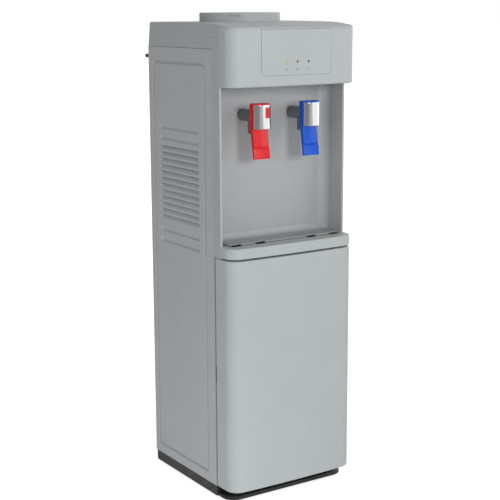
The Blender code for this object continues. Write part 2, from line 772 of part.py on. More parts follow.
def make_rear_panel():
    """The back sheet, with the opening behind the compressor and the holes of its fittings."""
    half = half_width - SHEET - SEAT_GAP
    face = panel_rear - SHEET - SEAT_GAP
    bottom = plinth_top + SEAT_GAP
    top = cover_rear_top - COVER_SKIRT_DROP_REAR
    panel = block("rear_panel", (-half, half), (face - REAR_SHEET, face), (bottom, top))
    through = (face - REAR_SHEET - CUT_OVERRUN, face + CUT_OVERRUN)
    service = block("service_opening", (-service_width / 2, service_width / 2), through,
                    (bottom + SERVICE_BOTTOM, bottom + SERVICE_BOTTOM + SERVICE_HEIGHT))
    cut(panel, service)
    for name, x, radius in (("port_hole", port_x, PORT_RADIUS), ("gland_hole", gland_x, GLAND_NECK)):
        hole = rod(name, radius + SEAT_GAP, through[1] - through[0], (x, through[0], PORT_HEIGHT), "Y")
        cut(panel, hole)
    for name, x in (("hot_switch_hole", -SWITCH_SPACING / 2), ("cold_switch_hole", SWITCH_SPACING / 2)):
        z = seam_level - SWITCH_PLATE_DROP
        hole = block(name, (x - ROCKER_WIDTH, x + ROCKER_WIDTH), through,
                     (z - ROCKER_HEIGHT, z + ROCKER_HEIGHT))
        cut(panel, hole)
    as_part(panel, ZINC)
    return face


def make_studs():
    """The two moulded studs at the top corners of the back."""
    face = panel_rear - SHEET
    for name, side in (("rear_stud_left", -1), ("rear_stud_right", 1)):
        outer = side * half_width
        inner = outer - side * STUD_SIZE
        top = cover_rear_top - COVER_SKIRT_DROP_REAR - 2 * COVER_REAR_OVERHANG - STUD_DROP
        stud = block(name, tuple(sorted((outer, inner))),
                     (panel_rear + SEAT_GAP, face + SHEET + STUD_LENGTH), (top - STUD_SIZE, top))
        soften(stud, STUD_SIZE / 8)
        as_part(stud, DARK)


def cover_profile(inset):
    """The top cover's side profile as (y, z): crowned top, front slope and leaning rear skirt."""
    rear_low = panel_rear + COVER_REAR_OVERHANG - inset
    rear_high = rear_low - COVER_REAR_SLOPE
    low = cover_rear_top - COVER_SKIRT_DROP_REAR - COVER_EDGE_RADIUS * 2.4
    high = cover_rear_top - inset
    crown_y = collar_y - COLLAR_RADIUS * 0.6
    front_y = door_face - HEADER_PROUD + HEADER_WALL + SEAT_GAP
    front_high = header_top - inset
    points = [(rear_low, low), (rear_high, high), (crown_y, high + COVER_CROWN)]
    radii = [0.0, COVER_EDGE_RADIUS * 1.5, 0.0]
    slope_shares = ((0.28, 0.1), (0.46, 0.15), (0.6, 0.29), (0.72, 0.49), (0.86, 0.77), (1.0, 1.0))
    for along, down in slope_shares:
        points.append((crown_y + (front_y - crown_y) * along,
                       high + COVER_CROWN + (front_high - high - COVER_CROWN) * down))
        radii.append(0.0)
    points.append((front_y - CUT_OVERRUN, front_high))
    points.append((front_y - CUT_OVERRUN, low))
    radii += [0.0, 0.0]
    return rounded(points, radii)


def cover_plan(inset, half):
    """The top cover's plan: full width behind the header, inside its walls in front."""
    tuck = HEADER_WALL + SEAT_GAP
    narrow = bowed_outline(header_face, split_plane, tuck + inset)
    rear = panel_rear + COVER_REAR_OVERHANG + CUT_OVERRUN
    step = split_plane + SEAT_GAP + inset
    narrow = [(x, step if y > split_plane - WELD_DISTANCE else y) for x, y in narrow]
    return narrow + [(half, step), (half, rear), (-half, rear), (-half, step)]


def make_top_cover():
    """The moulded lid with its skirts and the well that the bottle seat drops into."""
    high = cover_rear_top + COVER_CROWN
    low = cover_rear_top - COVER_SKIRT_DROP_REAR - COVER_EDGE_RADIUS * 4
    cover = side_prism("top_cover", cover_profile(0.0), (-half_width, half_width))
    soften(cover, COVER_EDGE_RADIUS, 2, 60.0)
    keep_common(cover, plan_prism("cover_plan", cover_plan(0.0, half_width + CUT_OVERRUN),
                                  (low, high + CUT_OVERRUN)))

    shoulder = panel_front + COVER_SHOULDER
    wide = (-half_width - CUT_OVERRUN, half_width + CUT_OVERRUN)
    under = low - CUT_OVERRUN
    trims = [(wide, (shoulder, panel_rear + SEAT_GAP), (under, seam_level)),
             (wide, (header_face - CUT_OVERRUN, shoulder + WELD_DISTANCE),
              (under, header_top - COVER_SKIRT_DROP_FRONT))]
    for i, trim in enumerate(trims):
        cut(cover, block(f"cover_trim_{i}", *trim))
    cut(cover, block("cover_front_trim", wide, (header_face - CUT_OVERRUN, split_plane + SEAT_GAP),
                     (under, header_top - WALL - COVER_CROWN)))

    hollow = side_prism("cover_hollow", cover_profile(WALL), (-half_width, half_width))
    keep_common(hollow, plan_prism("cover_hollow_plan", cover_plan(WALL, half_width - WALL),
                                   (low - CUT_OVERRUN, high)))
    well = rod("cover_well", COLLAR_RADIUS + SLIDE_GAP + WALL, high, (0, collar_y, high - WELL_DEPTH - WALL),
               steps=ROUND_STEPS)
    cut(hollow, well)
    cut(cover, hollow)

    hole_floor = high - WELL_DEPTH
    cut(cover, rod("cover_well_hole", COLLAR_RADIUS + SLIDE_GAP, high, (0, collar_y, hole_floor),
                   steps=ROUND_STEPS))
    cut(cover, rod("cover_neck_hole", COLLAR_RADIUS - WELL_LEDGE, high, (0, collar_y, low), steps=ROUND_STEPS))
    as_part(cover, SILVER)


def make_header():
    """The bowed header shell, open behind, with the indicator panel's pocket."""
    rear = split_plane
    header = plan_prism("header_cover", bowed_outline(header_face, rear), (header_bottom, header_top))
    soften(header, EDGE_SOFTENING)
    hollow = plan_prism("header_hollow", bowed_outline(header_face, rear + CUT_OVERRUN, HEADER_WALL),
                        (header_bottom + HEADER_WALL, header_top + CUT_OVERRUN))
    cut(header, hollow)
    half = INDICATOR_WIDTH / 2
    low = header_bottom + INDICATOR_BOTTOM
    pocket_outline = rounded([(-half, header_top + CUT_OVERRUN), (-half, low), (half, low),
                              (half, header_top + CUT_OVERRUN)],
                             [0.0, INDICATOR_RADIUS, INDICATOR_RADIUS, 0.0])
    pocket = front_prism("indicator_pocket", pocket_outline,
                         (header_face - CUT_OVERRUN, header_face + INDICATOR_DEPTH))
    cut(header, pocket)

    board_front = header_face + LAMP_SETBACK + LAMP_LENGTH + SEAT_GAP
    lamp_level = header_bottom + LAMP_HEIGHT
    for i, side in enumerate((-1, 1)):
        x = side * (BOARD_WIDTH / 2 - BOARD_POST)
        post = block(f"board_post_{i}", (x - BOARD_POST / 2, x + BOARD_POST / 2),
                     (header_face + HEADER_WALL - SEAT_GAP, board_front - SEAT_GAP),
                     (lamp_level - BOARD_POST / 2, lamp_level + BOARD_POST / 2))
        fuse(header, post)
    for i, place in enumerate((-1, 0, 1)):
        hole = rod(f"header_lamp_hole_{i}", LAMP_RADIUS + SEAT_GAP, LAMP_LENGTH + CUT_OVERRUN,
                   (place * LAMP_SPACING, header_face - CUT_OVERRUN, lamp_level), "Y")
        cut(header, hole)
    as_part(header, SILVER)

    gap = 2 * SEAT_GAP
    panel_outline = rounded([(-half + gap, header_top - gap), (-half + gap, low + gap),
                             (half - gap, low + gap), (half - gap, header_top - gap)],
                            [0.0, INDICATOR_RADIUS - gap, INDICATOR_RADIUS - gap, 0.0])
    panel = front_prism("indicator_panel", panel_outline,
                        (header_face - CUT_OVERRUN, header_face + INDICATOR_DEPTH - SEAT_GAP))
    keep_common(panel, plan_prism("indicator_bow", bowed_outline(header_face, rear),
                                  (header_bottom, header_top + CUT_OVERRUN)))
    for i, place in enumerate((-1, 0, 1)):
        hole = rod(f"panel_lamp_hole_{i}", LAMP_RADIUS + SEAT_GAP, LAMP_LENGTH + CUT_OVERRUN,
                   (place * LAMP_SPACING, header_face - CUT_OVERRUN, lamp_level), "Y")
        cut(panel, hole)
    as_part(panel, SILVER)

    lamps = {"lamp_power": (-1, GREEN_LAMP), "lamp_heating": (0, RED_LAMP), "lamp_cooling": (1, DARK_LAMP)}
    dome = LAMP_DOME
    profile = [(0, LAMP_LENGTH), (LAMP_RADIUS, LAMP_LENGTH), (LAMP_RADIUS, dome),
               (LAMP_RADIUS * 0.75, dome * 0.35), (0, 0)]
    for name, (place, mat) in lamps.items():
        lamp = turned(name, profile, (place * LAMP_SPACING, header_face + LAMP_SETBACK, lamp_level), "Y",
                      SMALL_STEPS)
        as_part(lamp, mat)
    board = block("indicator_board", (-BOARD_WIDTH / 2, BOARD_WIDTH / 2),
                  (board_front, board_front + BOARD_THICKNESS),
                  (lamp_level - BOARD_HEIGHT / 2, lamp_level + BOARD_HEIGHT / 2))
    as_part(board, BOARD)


def tap_places():
    return (("hot", -TAP_SPACING / 2), ("cold", TAP_SPACING / 2))


def make_recess_panel():
    """The moulded front with the tap recess, its side strips and the wall behind the header."""
    base = frame_top + SEAT_GAP
    strip_top = header_top - COVER_SKIRT_DROP_FRONT - SEAT_GAP
    ceiling = header_bottom + WALL + SEAT_GAP
    strip_rear = panel_front
    tub_half = half_width - WALL
    panel = block("recess_panel", (-half_width, half_width), (split_plane + SEAT_GAP, strip_rear),
                  (base, strip_top))
    soften(panel, EDGE_SOFTENING / 2)
    fuse(panel, block("recess_tub", (-tub_half, tub_half), (strip_rear - WALL, recess_back + WALL),
                      (base, ceiling + WALL)))
    shoulder = panel_front + COVER_SHOULDER - SEAT_GAP
    fuse(panel, block("recess_shoulder", (-half_width, half_width), (strip_rear - WALL, shoulder),
                      (seam_level + SEAT_GAP, strip_top)))

    inner = half_width - RECESS_SIDE
    recess_outline = rounded([(-inner, split_plane - CUT_OVERRUN), (inner, split_plane - CUT_OVERRUN),
                              (inner, recess_back), (-inner, recess_back)],
                             [0.0, 0.0, RECESS_CORNER_RADIUS, RECESS_CORNER_RADIUS])
    cut(panel, plan_prism("recess_cut", recess_outline, (recess_floor, ceiling)))
    cut(panel, block("header_back_cut", (-tub_half, tub_half),
                     (split_plane + SEAT_GAP + WALL, shoulder + CUT_OVERRUN),
                     (ceiling + WALL, strip_top + CUT_OVERRUN)))
    for name, x in tap_places():
        cut(panel, rod(name + "_tap_hole", TAP_STUB_RADIUS + SEAT_GAP, WALL + 2 * CUT_OVERRUN,
                       (x, recess_back - CUT_OVERRUN, tap_level), "Y", TAP_STEPS))
    as_part(panel, RECESS)


def make_door_frame():
    """The surround of the cabinet's opening, which the door closes against."""
    low = plinth_top + SEAT_GAP
    frame = block("door_frame", (-half_width, half_width), (frame_face, panel_front), (low, frame_top))
    tuck = half_width - FRAME_TUCK
    fuse(frame, block("frame_rim", (-tuck, tuck), (frame_face + FRAME_EDGE / 2, panel_front + FRAME_RIM),
                      (low, frame_top)))
    inner = half_width - FRAME_BAR
    cut(frame, block("frame_opening", (-inner, inner),
                     (frame_face - CUT_OVERRUN, panel_front + FRAME_RIM + CUT_OVERRUN),
                     (low + FRAME_BAR, frame_top - FRAME_BAR)))
    as_part(frame, SILVER)


def make_cabinet_liner():
    """The storage compartment's box, stepped at the back for the compressor."""
    front = panel_front + FRAME_RIM + SEAT_GAP
    low = plinth_top + SEAT_GAP + FRAME_BAR
    high = frame_top - FRAME_BAR
    step = low + LINER_STEP_HEIGHT
    half = half_width - FRAME_BAR

    low_rear = compressor_y - COMPRESSOR_RADIUS - LINER_COMPRESSOR_SPACE
    high_rear = back_sheet_front - LINER_REAR_SPACE

    def outline(grow, open_front):
        return [(front - open_front, low - grow), (low_rear + grow, low - grow),
                (low_rear + grow, step - grow), (high_rear + grow, step - grow),
                (high_rear + grow, high + grow), (front - open_front, high + grow)]

    liner = side_prism("cabinet_liner", outline(LINER_WALL, 0.0), (-half - LINER_WALL, half + LINER_WALL))
    cut(liner, side_prism("liner_hollow", outline(0.0, CUT_OVERRUN), (-half, half)))
    as_part(liner, WHITE)


def make_shelf():
    """The ledge under the recess, with the tray's pocket and the coved rear edge."""
    front = plan_prism("tray_shelf", bowed_outline(door_face, split_plane), (shelf_bottom, shelf_top))
    soften(front, EDGE_SOFTENING)
    inner = half_width - RECESS_SIDE - SEAT_GAP
    rear = recess_back - SEAT_GAP
    wall = rear - COVE_EDGE
    centre = (wall - RECESS_COVE_RADIUS, shelf_top + RECESS_COVE_RADIUS)
    cove = []
    for k in range(CURVE_STEPS + 1):
        angle = math.pi / 2 * k / CURVE_STEPS
        cove.append((centre[0] + RECESS_COVE_RADIUS * math.cos(angle),
                     centre[1] - RECESS_COVE_RADIUS * math.sin(angle)))
    lap = split_plane - EDGE_SOFTENING * 2
    profile = [(lap, shelf_bottom), (rear, shelf_bottom), (rear, shelf_top + RECESS_COVE_RADIUS)]
    profile += cove + [(lap, shelf_top)]
    back = side_prism("shelf_back", profile, (-inner, inner))
    plan = rounded([(-inner, split_plane - CUT_OVERRUN), (inner, split_plane - CUT_OVERRUN),
                    (inner, rear), (-inner, rear)],
                   [0.0, 0.0, RECESS_CORNER_RADIUS, RECESS_CORNER_RADIUS])
    keep_common(back, plan_prism("shelf_back_plan", plan,
                                 (shelf_bottom - CUT_OVERRUN, shelf_top + 2 * RECESS_COVE_RADIUS)))
    fuse(front, back)
    pocket = box_outline((-pocket_width / 2, pocket_width / 2), pocket_span(), POCKET_CORNER)
    cut(front, plan_prism("tray_pocket", pocket, (shelf_bottom + POCKET_FLOOR, shelf_top + CUT_OVERRUN)))
    as_part(front, SILVER)


def pocket_span():
    """The tray pocket's front and rear edges."""
    return (door_face + POCKET_FRONT, recess_back - POCKET_REAR)


def notch_cutter(name, y, z):
    """Four blocks at the drain notches."""
    spans = []
    for spacing in (NOTCH_INNER_SPACING, pocket_width - 2 * NOTCH_SIDE):
        for side in (-1, 1):
            x = side * spacing / 2
            spans.append(((x - NOTCH_WIDTH / 2, x + NOTCH_WIDTH / 2), y, z))
    return boxes(name, spans)


def make_drip_tray():
    """The basin, which lifts out of the shelf, and the plate that lies on it."""
    span = pocket_span()
    half = pocket_width / 2 - SLIDE_GAP
    front, rear = span[0] + SLIDE_GAP, span[1] - SLIDE_GAP
    floor = shelf_bottom + POCKET_FLOOR + SEAT_GAP
    top = shelf_top + TRAY_PROUD
    axis = joint_axis("drip_tray_axis", (0, middle(span), floor))
    tray = plan_prism("drip_tray", box_outline((-half, half), (front, rear), POCKET_CORNER - SLIDE_GAP),
                      (floor, top))
    hollow = box_outline((-half + TRAY_WALL, half - TRAY_WALL), (front + TRAY_WALL, rear - TRAY_WALL),
                         POCKET_CORNER - SLIDE_GAP - TRAY_WALL)
    cut(tray, plan_prism("tray_hollow", hollow, (floor + TRAY_WALL, top + CUT_OVERRUN)))
    rim_end = front + TRAY_RIM
    corner = POCKET_CORNER - SLIDE_GAP
    lap = TRAY_WALL / 2
    rim_outline = rounded([(lap - half, rim_end), (lap - half, front + lap),
                           (half - lap, front + lap), (half - lap, rim_end)],
                          [0.0, corner - lap, corner - lap, 0.0])
    fuse(tray, plan_prism("tray_rim", rim_outline, (top - TRAY_WALL, top)))
    cut(tray, notch_cutter("tray_notches", (front + 2 * TRAY_WALL, rim_end + CUT_OVERRUN),
                           (top - TRAY_WALL - CUT_OVERRUN, top + CUT_OVERRUN)))
    as_part(tray, TRAY, axis)

    plate_front = rim_end - TRAY_WALL
    low = top + SEAT_GAP
    plate_axis = joint_axis("drip_plate_axis", (0, middle(span), low))
    plate = block("drip_plate", (-half, half), (plate_front, rear), (low, low + PLATE_THICKNESS))
    soften(plate, EDGE_SOFTENING / 2, 1)
    cut(plate, notch_cutter("plate_notches", (plate_front - CUT_OVERRUN, plate_front + NOTCH_DEPTH),
                            (low - CUT_OVERRUN, low + PLATE_THICKNESS + CUT_OVERRUN)))
    as_part(plate, TRAY, plate_axis)


def hinge_place():
    return half_width - HINGE_INSET, door_rear - HINGE_INSET


def make_door():
    """The moulded door shell, the flat liner that closes it, and its magnetic catch."""
    hinge_x, hinge_y = hinge_place()
    axis = joint_axis("door_axis", (hinge_x, hinge_y, middle((door_bottom, door_top))))
    door = plan_prism("cabinet_door", bowed_outline(door_face, door_rear), (door_bottom, door_top))
    soften(door, EDGE_SOFTENING)
    hollow = plan_prism("door_hollow", bowed_outline(door_face, door_rear + CUT_OVERRUN, DOOR_WALL),
                        (door_bottom + DOOR_WALL, door_top - DOOR_WALL))
    cut(door, hollow)
    radius = HINGE_PIN_RADIUS + HINGE_PIN_CLEARANCE
    for i, z in enumerate((door_bottom - CUT_OVERRUN, door_top - DOOR_WALL - CUT_OVERRUN)):
        cut(door, rod(f"door_pin_hole_{i}", radius, DOOR_WALL + 2 * CUT_OVERRUN, (hinge_x, hinge_y, z)))
    as_part(door, SILVER, axis)

    half = half_width - DOOR_WALL - SEAT_GAP
    rear = door_rear - SEAT_GAP
    low, high = door_bottom + DOOR_WALL + SEAT_GAP, door_top - DOOR_WALL - SEAT_GAP
    liner = block("door_liner", (-half, half), (rear - DOOR_LINER, rear), (low, high))
    border = DOOR_LINER_BORDER
    cut(liner, block("door_liner_dish", (-half + border, half - border),
                     (rear - DOOR_LINER_DISH, rear + CUT_OVERRUN), (low + border, high - border)))
    as_part(liner, WHITE, axis)

    level = middle((door_bottom, door_top))
    outer = -half_width + (FRAME_BAR - CATCH_WIDTH) / 2
    catch = block("door_catch", (outer, outer + CATCH_WIDTH),
                  (door_rear + CATCH_CLEARANCE, frame_face - SEAT_GAP),
                  (level - CATCH_HEIGHT / 2, level + CATCH_HEIGHT / 2))
    as_part(catch, DARK)


def make_hinge(name, plate_z, leg_z, pin_z):
    """A bent plate on the frame's face, with the door's pin on it."""
    hinge_x, hinge_y = hinge_place()
    half = HINGE_PLATE_WIDTH / 2
    x = (hinge_x - half, hinge_x + half)
    rear = frame_face - SEAT_GAP
    bracket = block(name, x, (hinge_y - half, rear), plate_z)
    fuse(bracket, block(name + "_leg", x, (rear - HINGE_PLATE, rear), leg_z))
    fuse(bracket, rod(name + "_pin", HINGE_PIN_RADIUS, pin_z[1] - pin_z[0], (hinge_x, hinge_y, pin_z[0])))
    as_part(bracket, ZINC)


def make_hinges():
    low_top = door_bottom - HINGE_PLATE_CLEARANCE
    make_hinge("hinge_lower", (low_top - HINGE_PLATE, low_top), (low_top - HINGE_LEG, low_top),
               (low_top - HINGE_PLATE / 2, low_top + HINGE_PIN_LENGTH))
    high = door_top + HINGE_PLATE_CLEARANCE
    make_hinge("hinge_upper", (high, high + HINGE_PLATE), (high - HINGE_LEG, high + HINGE_PLATE),
               (high - HINGE_PIN_LENGTH, high + HINGE_PLATE / 2))


def curved_face(radius, half, rear):
    """A plan outline with a round front of the given radius, about the lever caps' centre."""
    centre = cap_face + CAP_CURVE
    reach = math.asin(min(1.0, half / radius))
    outline = [(-half, rear)]
    steps = 2 * CURVE_STEPS
    for k in range(steps + 1):
        angle = reach * (2 * k / steps - 1)
        outline.append((radius * math.sin(angle), centre - radius * math.cos(angle)))
    return outline + [(half, rear)]


def shifted(outline, x):
    return [(u + x, v) for u, v in outline]


def make_tap(name, x, mat):
    """One tap: its body through the wall, sprung lever and chrome cap."""
    body_front = cap_face + CAP_THICKNESS + SEAT_GAP + HEAD_FRONT_WALL + TAP_FRONT_CLEARANCE
    stub_end = recess_back + TAP_STUB_LENGTH - body_front
    flange_rear = recess_back - SEAT_GAP - body_front
    bore_start = recess_back - SPOUT_SETBACK - body_front
    profile = [(0, bore_start), (TAP_BORE, bore_start), (TAP_BORE, stub_end), (TAP_STUB_RADIUS, stub_end),
               (TAP_STUB_RADIUS, flange_rear), (TAP_FLANGE_RADIUS, flange_rear),
               (TAP_FLANGE_RADIUS, flange_rear - TAP_FLANGE), (TAP_RADIUS, flange_rear - TAP_FLANGE),
               (TAP_RADIUS, EDGE_SOFTENING), (TAP_RADIUS - EDGE_SOFTENING, 0), (0, 0)]
    body = turned(name + "_tap_body", profile, (x, body_front, tap_level), "Y", TAP_STEPS)
    spout_y = recess_back - SPOUT_SETBACK
    fuse(body, rod(name + "_tap_spout", SPOUT_RADIUS, SPOUT_DROP, (x, spout_y, tap_level - SPOUT_DROP)))
    pivot_y = cap_face + HEAD_SIDE_DEPTH - PIVOT_SETBACK
    pivot = (x, pivot_y, tap_level + PIVOT_RISE)
    pin_half = CAP_WIDTH / 2 - SEAT_GAP
    fuse(body, rod(name + "_tap_pivot", PIVOT_RADIUS, 2 * pin_half, (x - pin_half, pivot_y, pivot[2]), "X"))
    cut(body, rod(name + "_spout_bore", SPOUT_BORE, SPOUT_DROP + CUT_OVERRUN,
                  (x, spout_y, tap_level - SPOUT_DROP - CUT_OVERRUN)))
    as_part(body, DARK)

    axis = joint_axis(name + "_lever_axis", pivot)
    half = CAP_WIDTH / 2
    low, high = tap_level - CAP_HEIGHT / 2, tap_level + CAP_HEIGHT / 2
    head_radius = CAP_CURVE - CAP_THICKNESS - SEAT_GAP
    rear = cap_face + HEAD_SIDE_DEPTH
    head_top = high + HEAD_TOP_RISE
    lever = plan_prism(name + "_lever", shifted(curved_face(head_radius, half, rear), x), (low, head_top))
    inner = half - HEAD_CHEEK
    inside_front = cap_face + CAP_THICKNESS + SEAT_GAP + HEAD_FRONT_WALL
    cut(lever, block(name + "_lever_inside", (x - inner, x + inner), (inside_front, rear + CUT_OVERRUN),
                     (low - CUT_OVERRUN, head_top - HEAD_CHEEK)))
    root_y, root_z = cap_face + PADDLE_ROOT_SETBACK, low
    tip_y, tip_z = cap_face + PADDLE_TIP_SETBACK, tap_level - PADDLE_DROP
    lean = (root_y - tip_y) / (root_z - tip_z)
    rise = HEAD_CHEEK * 2
    deep = PADDLE_THICKNESS
    profile = [(tip_y, tip_z), (tip_y + deep, tip_z), (root_y + deep + lean * rise, root_z + rise),
               (root_y + lean * rise, root_z + rise)]
    paddle_half = PADDLE_WIDTH / 2
    paddle = side_prism(name + "_paddle", profile, (x - paddle_half, x + paddle_half))
    fuse(lever, paddle)
    pad_low = tip_z + PADDLE_PAD_MARGIN
    pad_high = pad_low + PADDLE_PAD_HEIGHT
    low_y = tip_y + lean * PADDLE_PAD_MARGIN
    high_y = low_y + lean * PADDLE_PAD_HEIGHT
    pad_profile = [(low_y - PADDLE_PAD_THICKNESS * 0.4, pad_low), (low_y + deep / 2, pad_low),
                   (high_y + deep / 2, pad_high), (high_y - PADDLE_PAD_THICKNESS, pad_high)]
    pad_half = paddle_half - PADDLE_PAD_MARGIN
    fuse(lever, side_prism(name + "_paddle_pad", pad_profile, (x - pad_half, x + pad_half)))
    hole_reach = half + CUT_OVERRUN
    cut(lever, rod(name + "_lever_pivot_hole", PIVOT_RADIUS + PIVOT_CLEARANCE, 2 * hole_reach,
                   (x - hole_reach, pivot_y, pivot[2]), "X"))
    if name == "hot":
        cut(lever, lock_block("lock_window_lever", x, SEAT_GAP, cap_face - CUT_OVERRUN,
                              inside_front + CUT_OVERRUN))
    as_part(lever, mat, axis)

    cap = plan_prism(name + "_lever_cap", shifted(curved_face(CAP_CURVE, half, rear), x), (low, high))
    inside = curved_face(CAP_CURVE - CAP_THICKNESS, half + CUT_OVERRUN / 2, rear + CUT_OVERRUN)
    core = plan_prism(name + "_cap_core", shifted(inside, x), (low - CUT_OVERRUN, high + CUT_OVERRUN))
    cut(cap, core)
    if name == "hot":
        cut(cap, lock_block("lock_window_cap", x, SEAT_GAP, cap_face - CUT_OVERRUN, rear))
    as_part(cap, CHROME, axis)
    return axis, inside_front


def lock_block(name, x, grow, front, rear):
    """The child lock's outline from the front, as a block, with a margin all round."""
    top = tap_level + CAP_HEIGHT / 2 - LOCK_TOP_DROP
    return block(name, (x + LOCK_LEFT - grow, x + LOCK_RIGHT + grow), (front, rear),
                 (top - LOCK_HEIGHT - grow, top + grow))


def make_child_lock(x, inside_front):
    """The red button in the hot lever's cap, held by a flange inside the lever's head."""
    rear = inside_front + LOCK_FLANGE + SEAT_GAP
    proud = CAP_CURVE + LOCK_PROUD
    top = tap_level + CAP_HEIGHT / 2 - LOCK_TOP_DROP
    centre = (x + middle((LOCK_LEFT, LOCK_RIGHT)), inside_front, top - LOCK_HEIGHT / 2)
    axis = joint_axis("child_lock_axis", centre)
    lock = lock_block("child_lock", x, 0.0, cap_face - CUT_OVERRUN, rear)
    shape = plan_prism("lock_face", shifted(curved_face(proud, CAP_WIDTH / 2, rear + CUT_OVERRUN), x),
                       (top - 2 * LOCK_HEIGHT, top + LOCK_HEIGHT))
    keep_common(lock, shape)
    fuse(lock, lock_block("lock_flange", x, LOCK_FLANGE, inside_front + SEAT_GAP, rear))
    as_part(lock, RED, axis)


def make_bottle_seat():
    """The collar and funnel that the bottle stands in, and the spike that opens its cap."""
    rest = cover_rear_top + COVER_CROWN - WELL_DEPTH + SEAT_GAP
    top = collar_top
    outer = COLLAR_RADIUS
    inner = outer - COLLAR_RIM
    spigot = outer - WELL_LEDGE - SLIDE_GAP
    cone_top = rest
    cone_low = rest - SEAT_CONE_DROP
    neck_low = rest - SEAT_NECK_LENGTH
    neck = SEAT_NECK_RADIUS
    shell = SEAT_SHELL
    r = COLLAR_ROUND
    profile = [(inner + r, top), (outer - r, top), (outer - r * 0.3, top - r * 0.3), (outer, top - r),
               (outer, rest), (spigot, rest), (spigot, cone_top - shell),
               (neck + shell, cone_low), (neck + shell, neck_low),
               (neck, neck_low), (neck, cone_low + shell), (spigot - shell, cone_top + shell),
               (inner, cone_top + 3 * shell), (inner, top - r), (inner + r * 0.3, top - r * 0.3)]
    axis = joint_axis("bottle_seat_axis", (0, collar_y, rest))
    seat = turned("bottle_seat", profile, (0, collar_y, 0), closed=True)
    for i in range(2):
        angle = math.radians(COLLAR_SLOT_ANGLE) + math.pi * i
        place = Vector((math.cos(angle) * outer, collar_y + math.sin(angle) * outer,
                        top - COLLAR_SLOT_DROP))
        bm = bmesh.new()
        add_box(bm, (-COLLAR_RIM / 2, COLLAR_RIM / 2), (-COLLAR_SLOT_WIDTH / 2, COLLAR_SLOT_WIDTH / 2),
                (-COLLAR_SLOT_HEIGHT / 2, COLLAR_SLOT_HEIGHT / 2))
        slot = add_tool(f"collar_slot_{i}", mesh_from("collar_slot", bm), place, (0, 0, angle))
        cut(seat, slot)
    as_part(seat, SILVER, axis)

    flange = neck - SEAT_GAP
    tip = top - SPIKE_TIP_DROP
    spike_low = neck_low
    flange_top = spike_low + SPIKE_FLANGE
    spike_profile = [(SPIKE_BORE * 0.5, tip), (SPIKE_RADIUS * 0.65, tip), (SPIKE_RADIUS, tip - SPIKE_RADIUS),
                     (SPIKE_RADIUS, flange_top), (flange, flange_top), (flange, spike_low),
                     (SPIKE_BORE, spike_low), (SPIKE_BORE, tip - SPIKE_RADIUS)]
    spike = turned("guard_spike", spike_profile, (0, collar_y, 0), steps=TANK_STEPS, closed=True)
    as_part(spike, WHITE, axis)


def make_tank_shelf():
    """The sheet across the cabinet that carries the tanks."""
    half = half_width - SHEET - SEAT_GAP
    shelf = block("tank_shelf", (-half, half), (tank_shelf_front, tank_shelf_rear),
                  (tank_shelf_top - TANK_SHELF_SHEET, tank_shelf_top))
    as_part(shelf, ZINC)

    low = tank_shelf_top + SEAT_GAP
    half = cradle_half
    cradle = block("tank_cradle", (-half, half), (cradle_front, cradle_rear), (low, cradle_top))
    cut(cradle, block("cradle_inside", (-half + CRADLE_SHEET, half - CRADLE_SHEET),
                      (cradle_front - CUT_OVERRUN, cradle_rear + CUT_OVERRUN),
                      (low - CUT_OVERRUN, cradle_top - CRADLE_SHEET)))
    for name, (x, y) in spigot_places().items():
        cut(cradle, rod(name + "_cradle_hole", SPIGOT_RADIUS + SLIDE_GAP, 2 * CUT_OVERRUN,
                        (x, y, cradle_top - CUT_OVERRUN)))
    as_part(cradle, ZINC)


def spigot_places():
    """Where the cold tank's two outlets leave its floor."""
    reach = cold_tank_radius * 0.62
    return {"cold_outlet": (reach, tank_y - reach * 0.9),
            "link_outlet": (reach * 0.9, tank_y + reach * 0.35)}


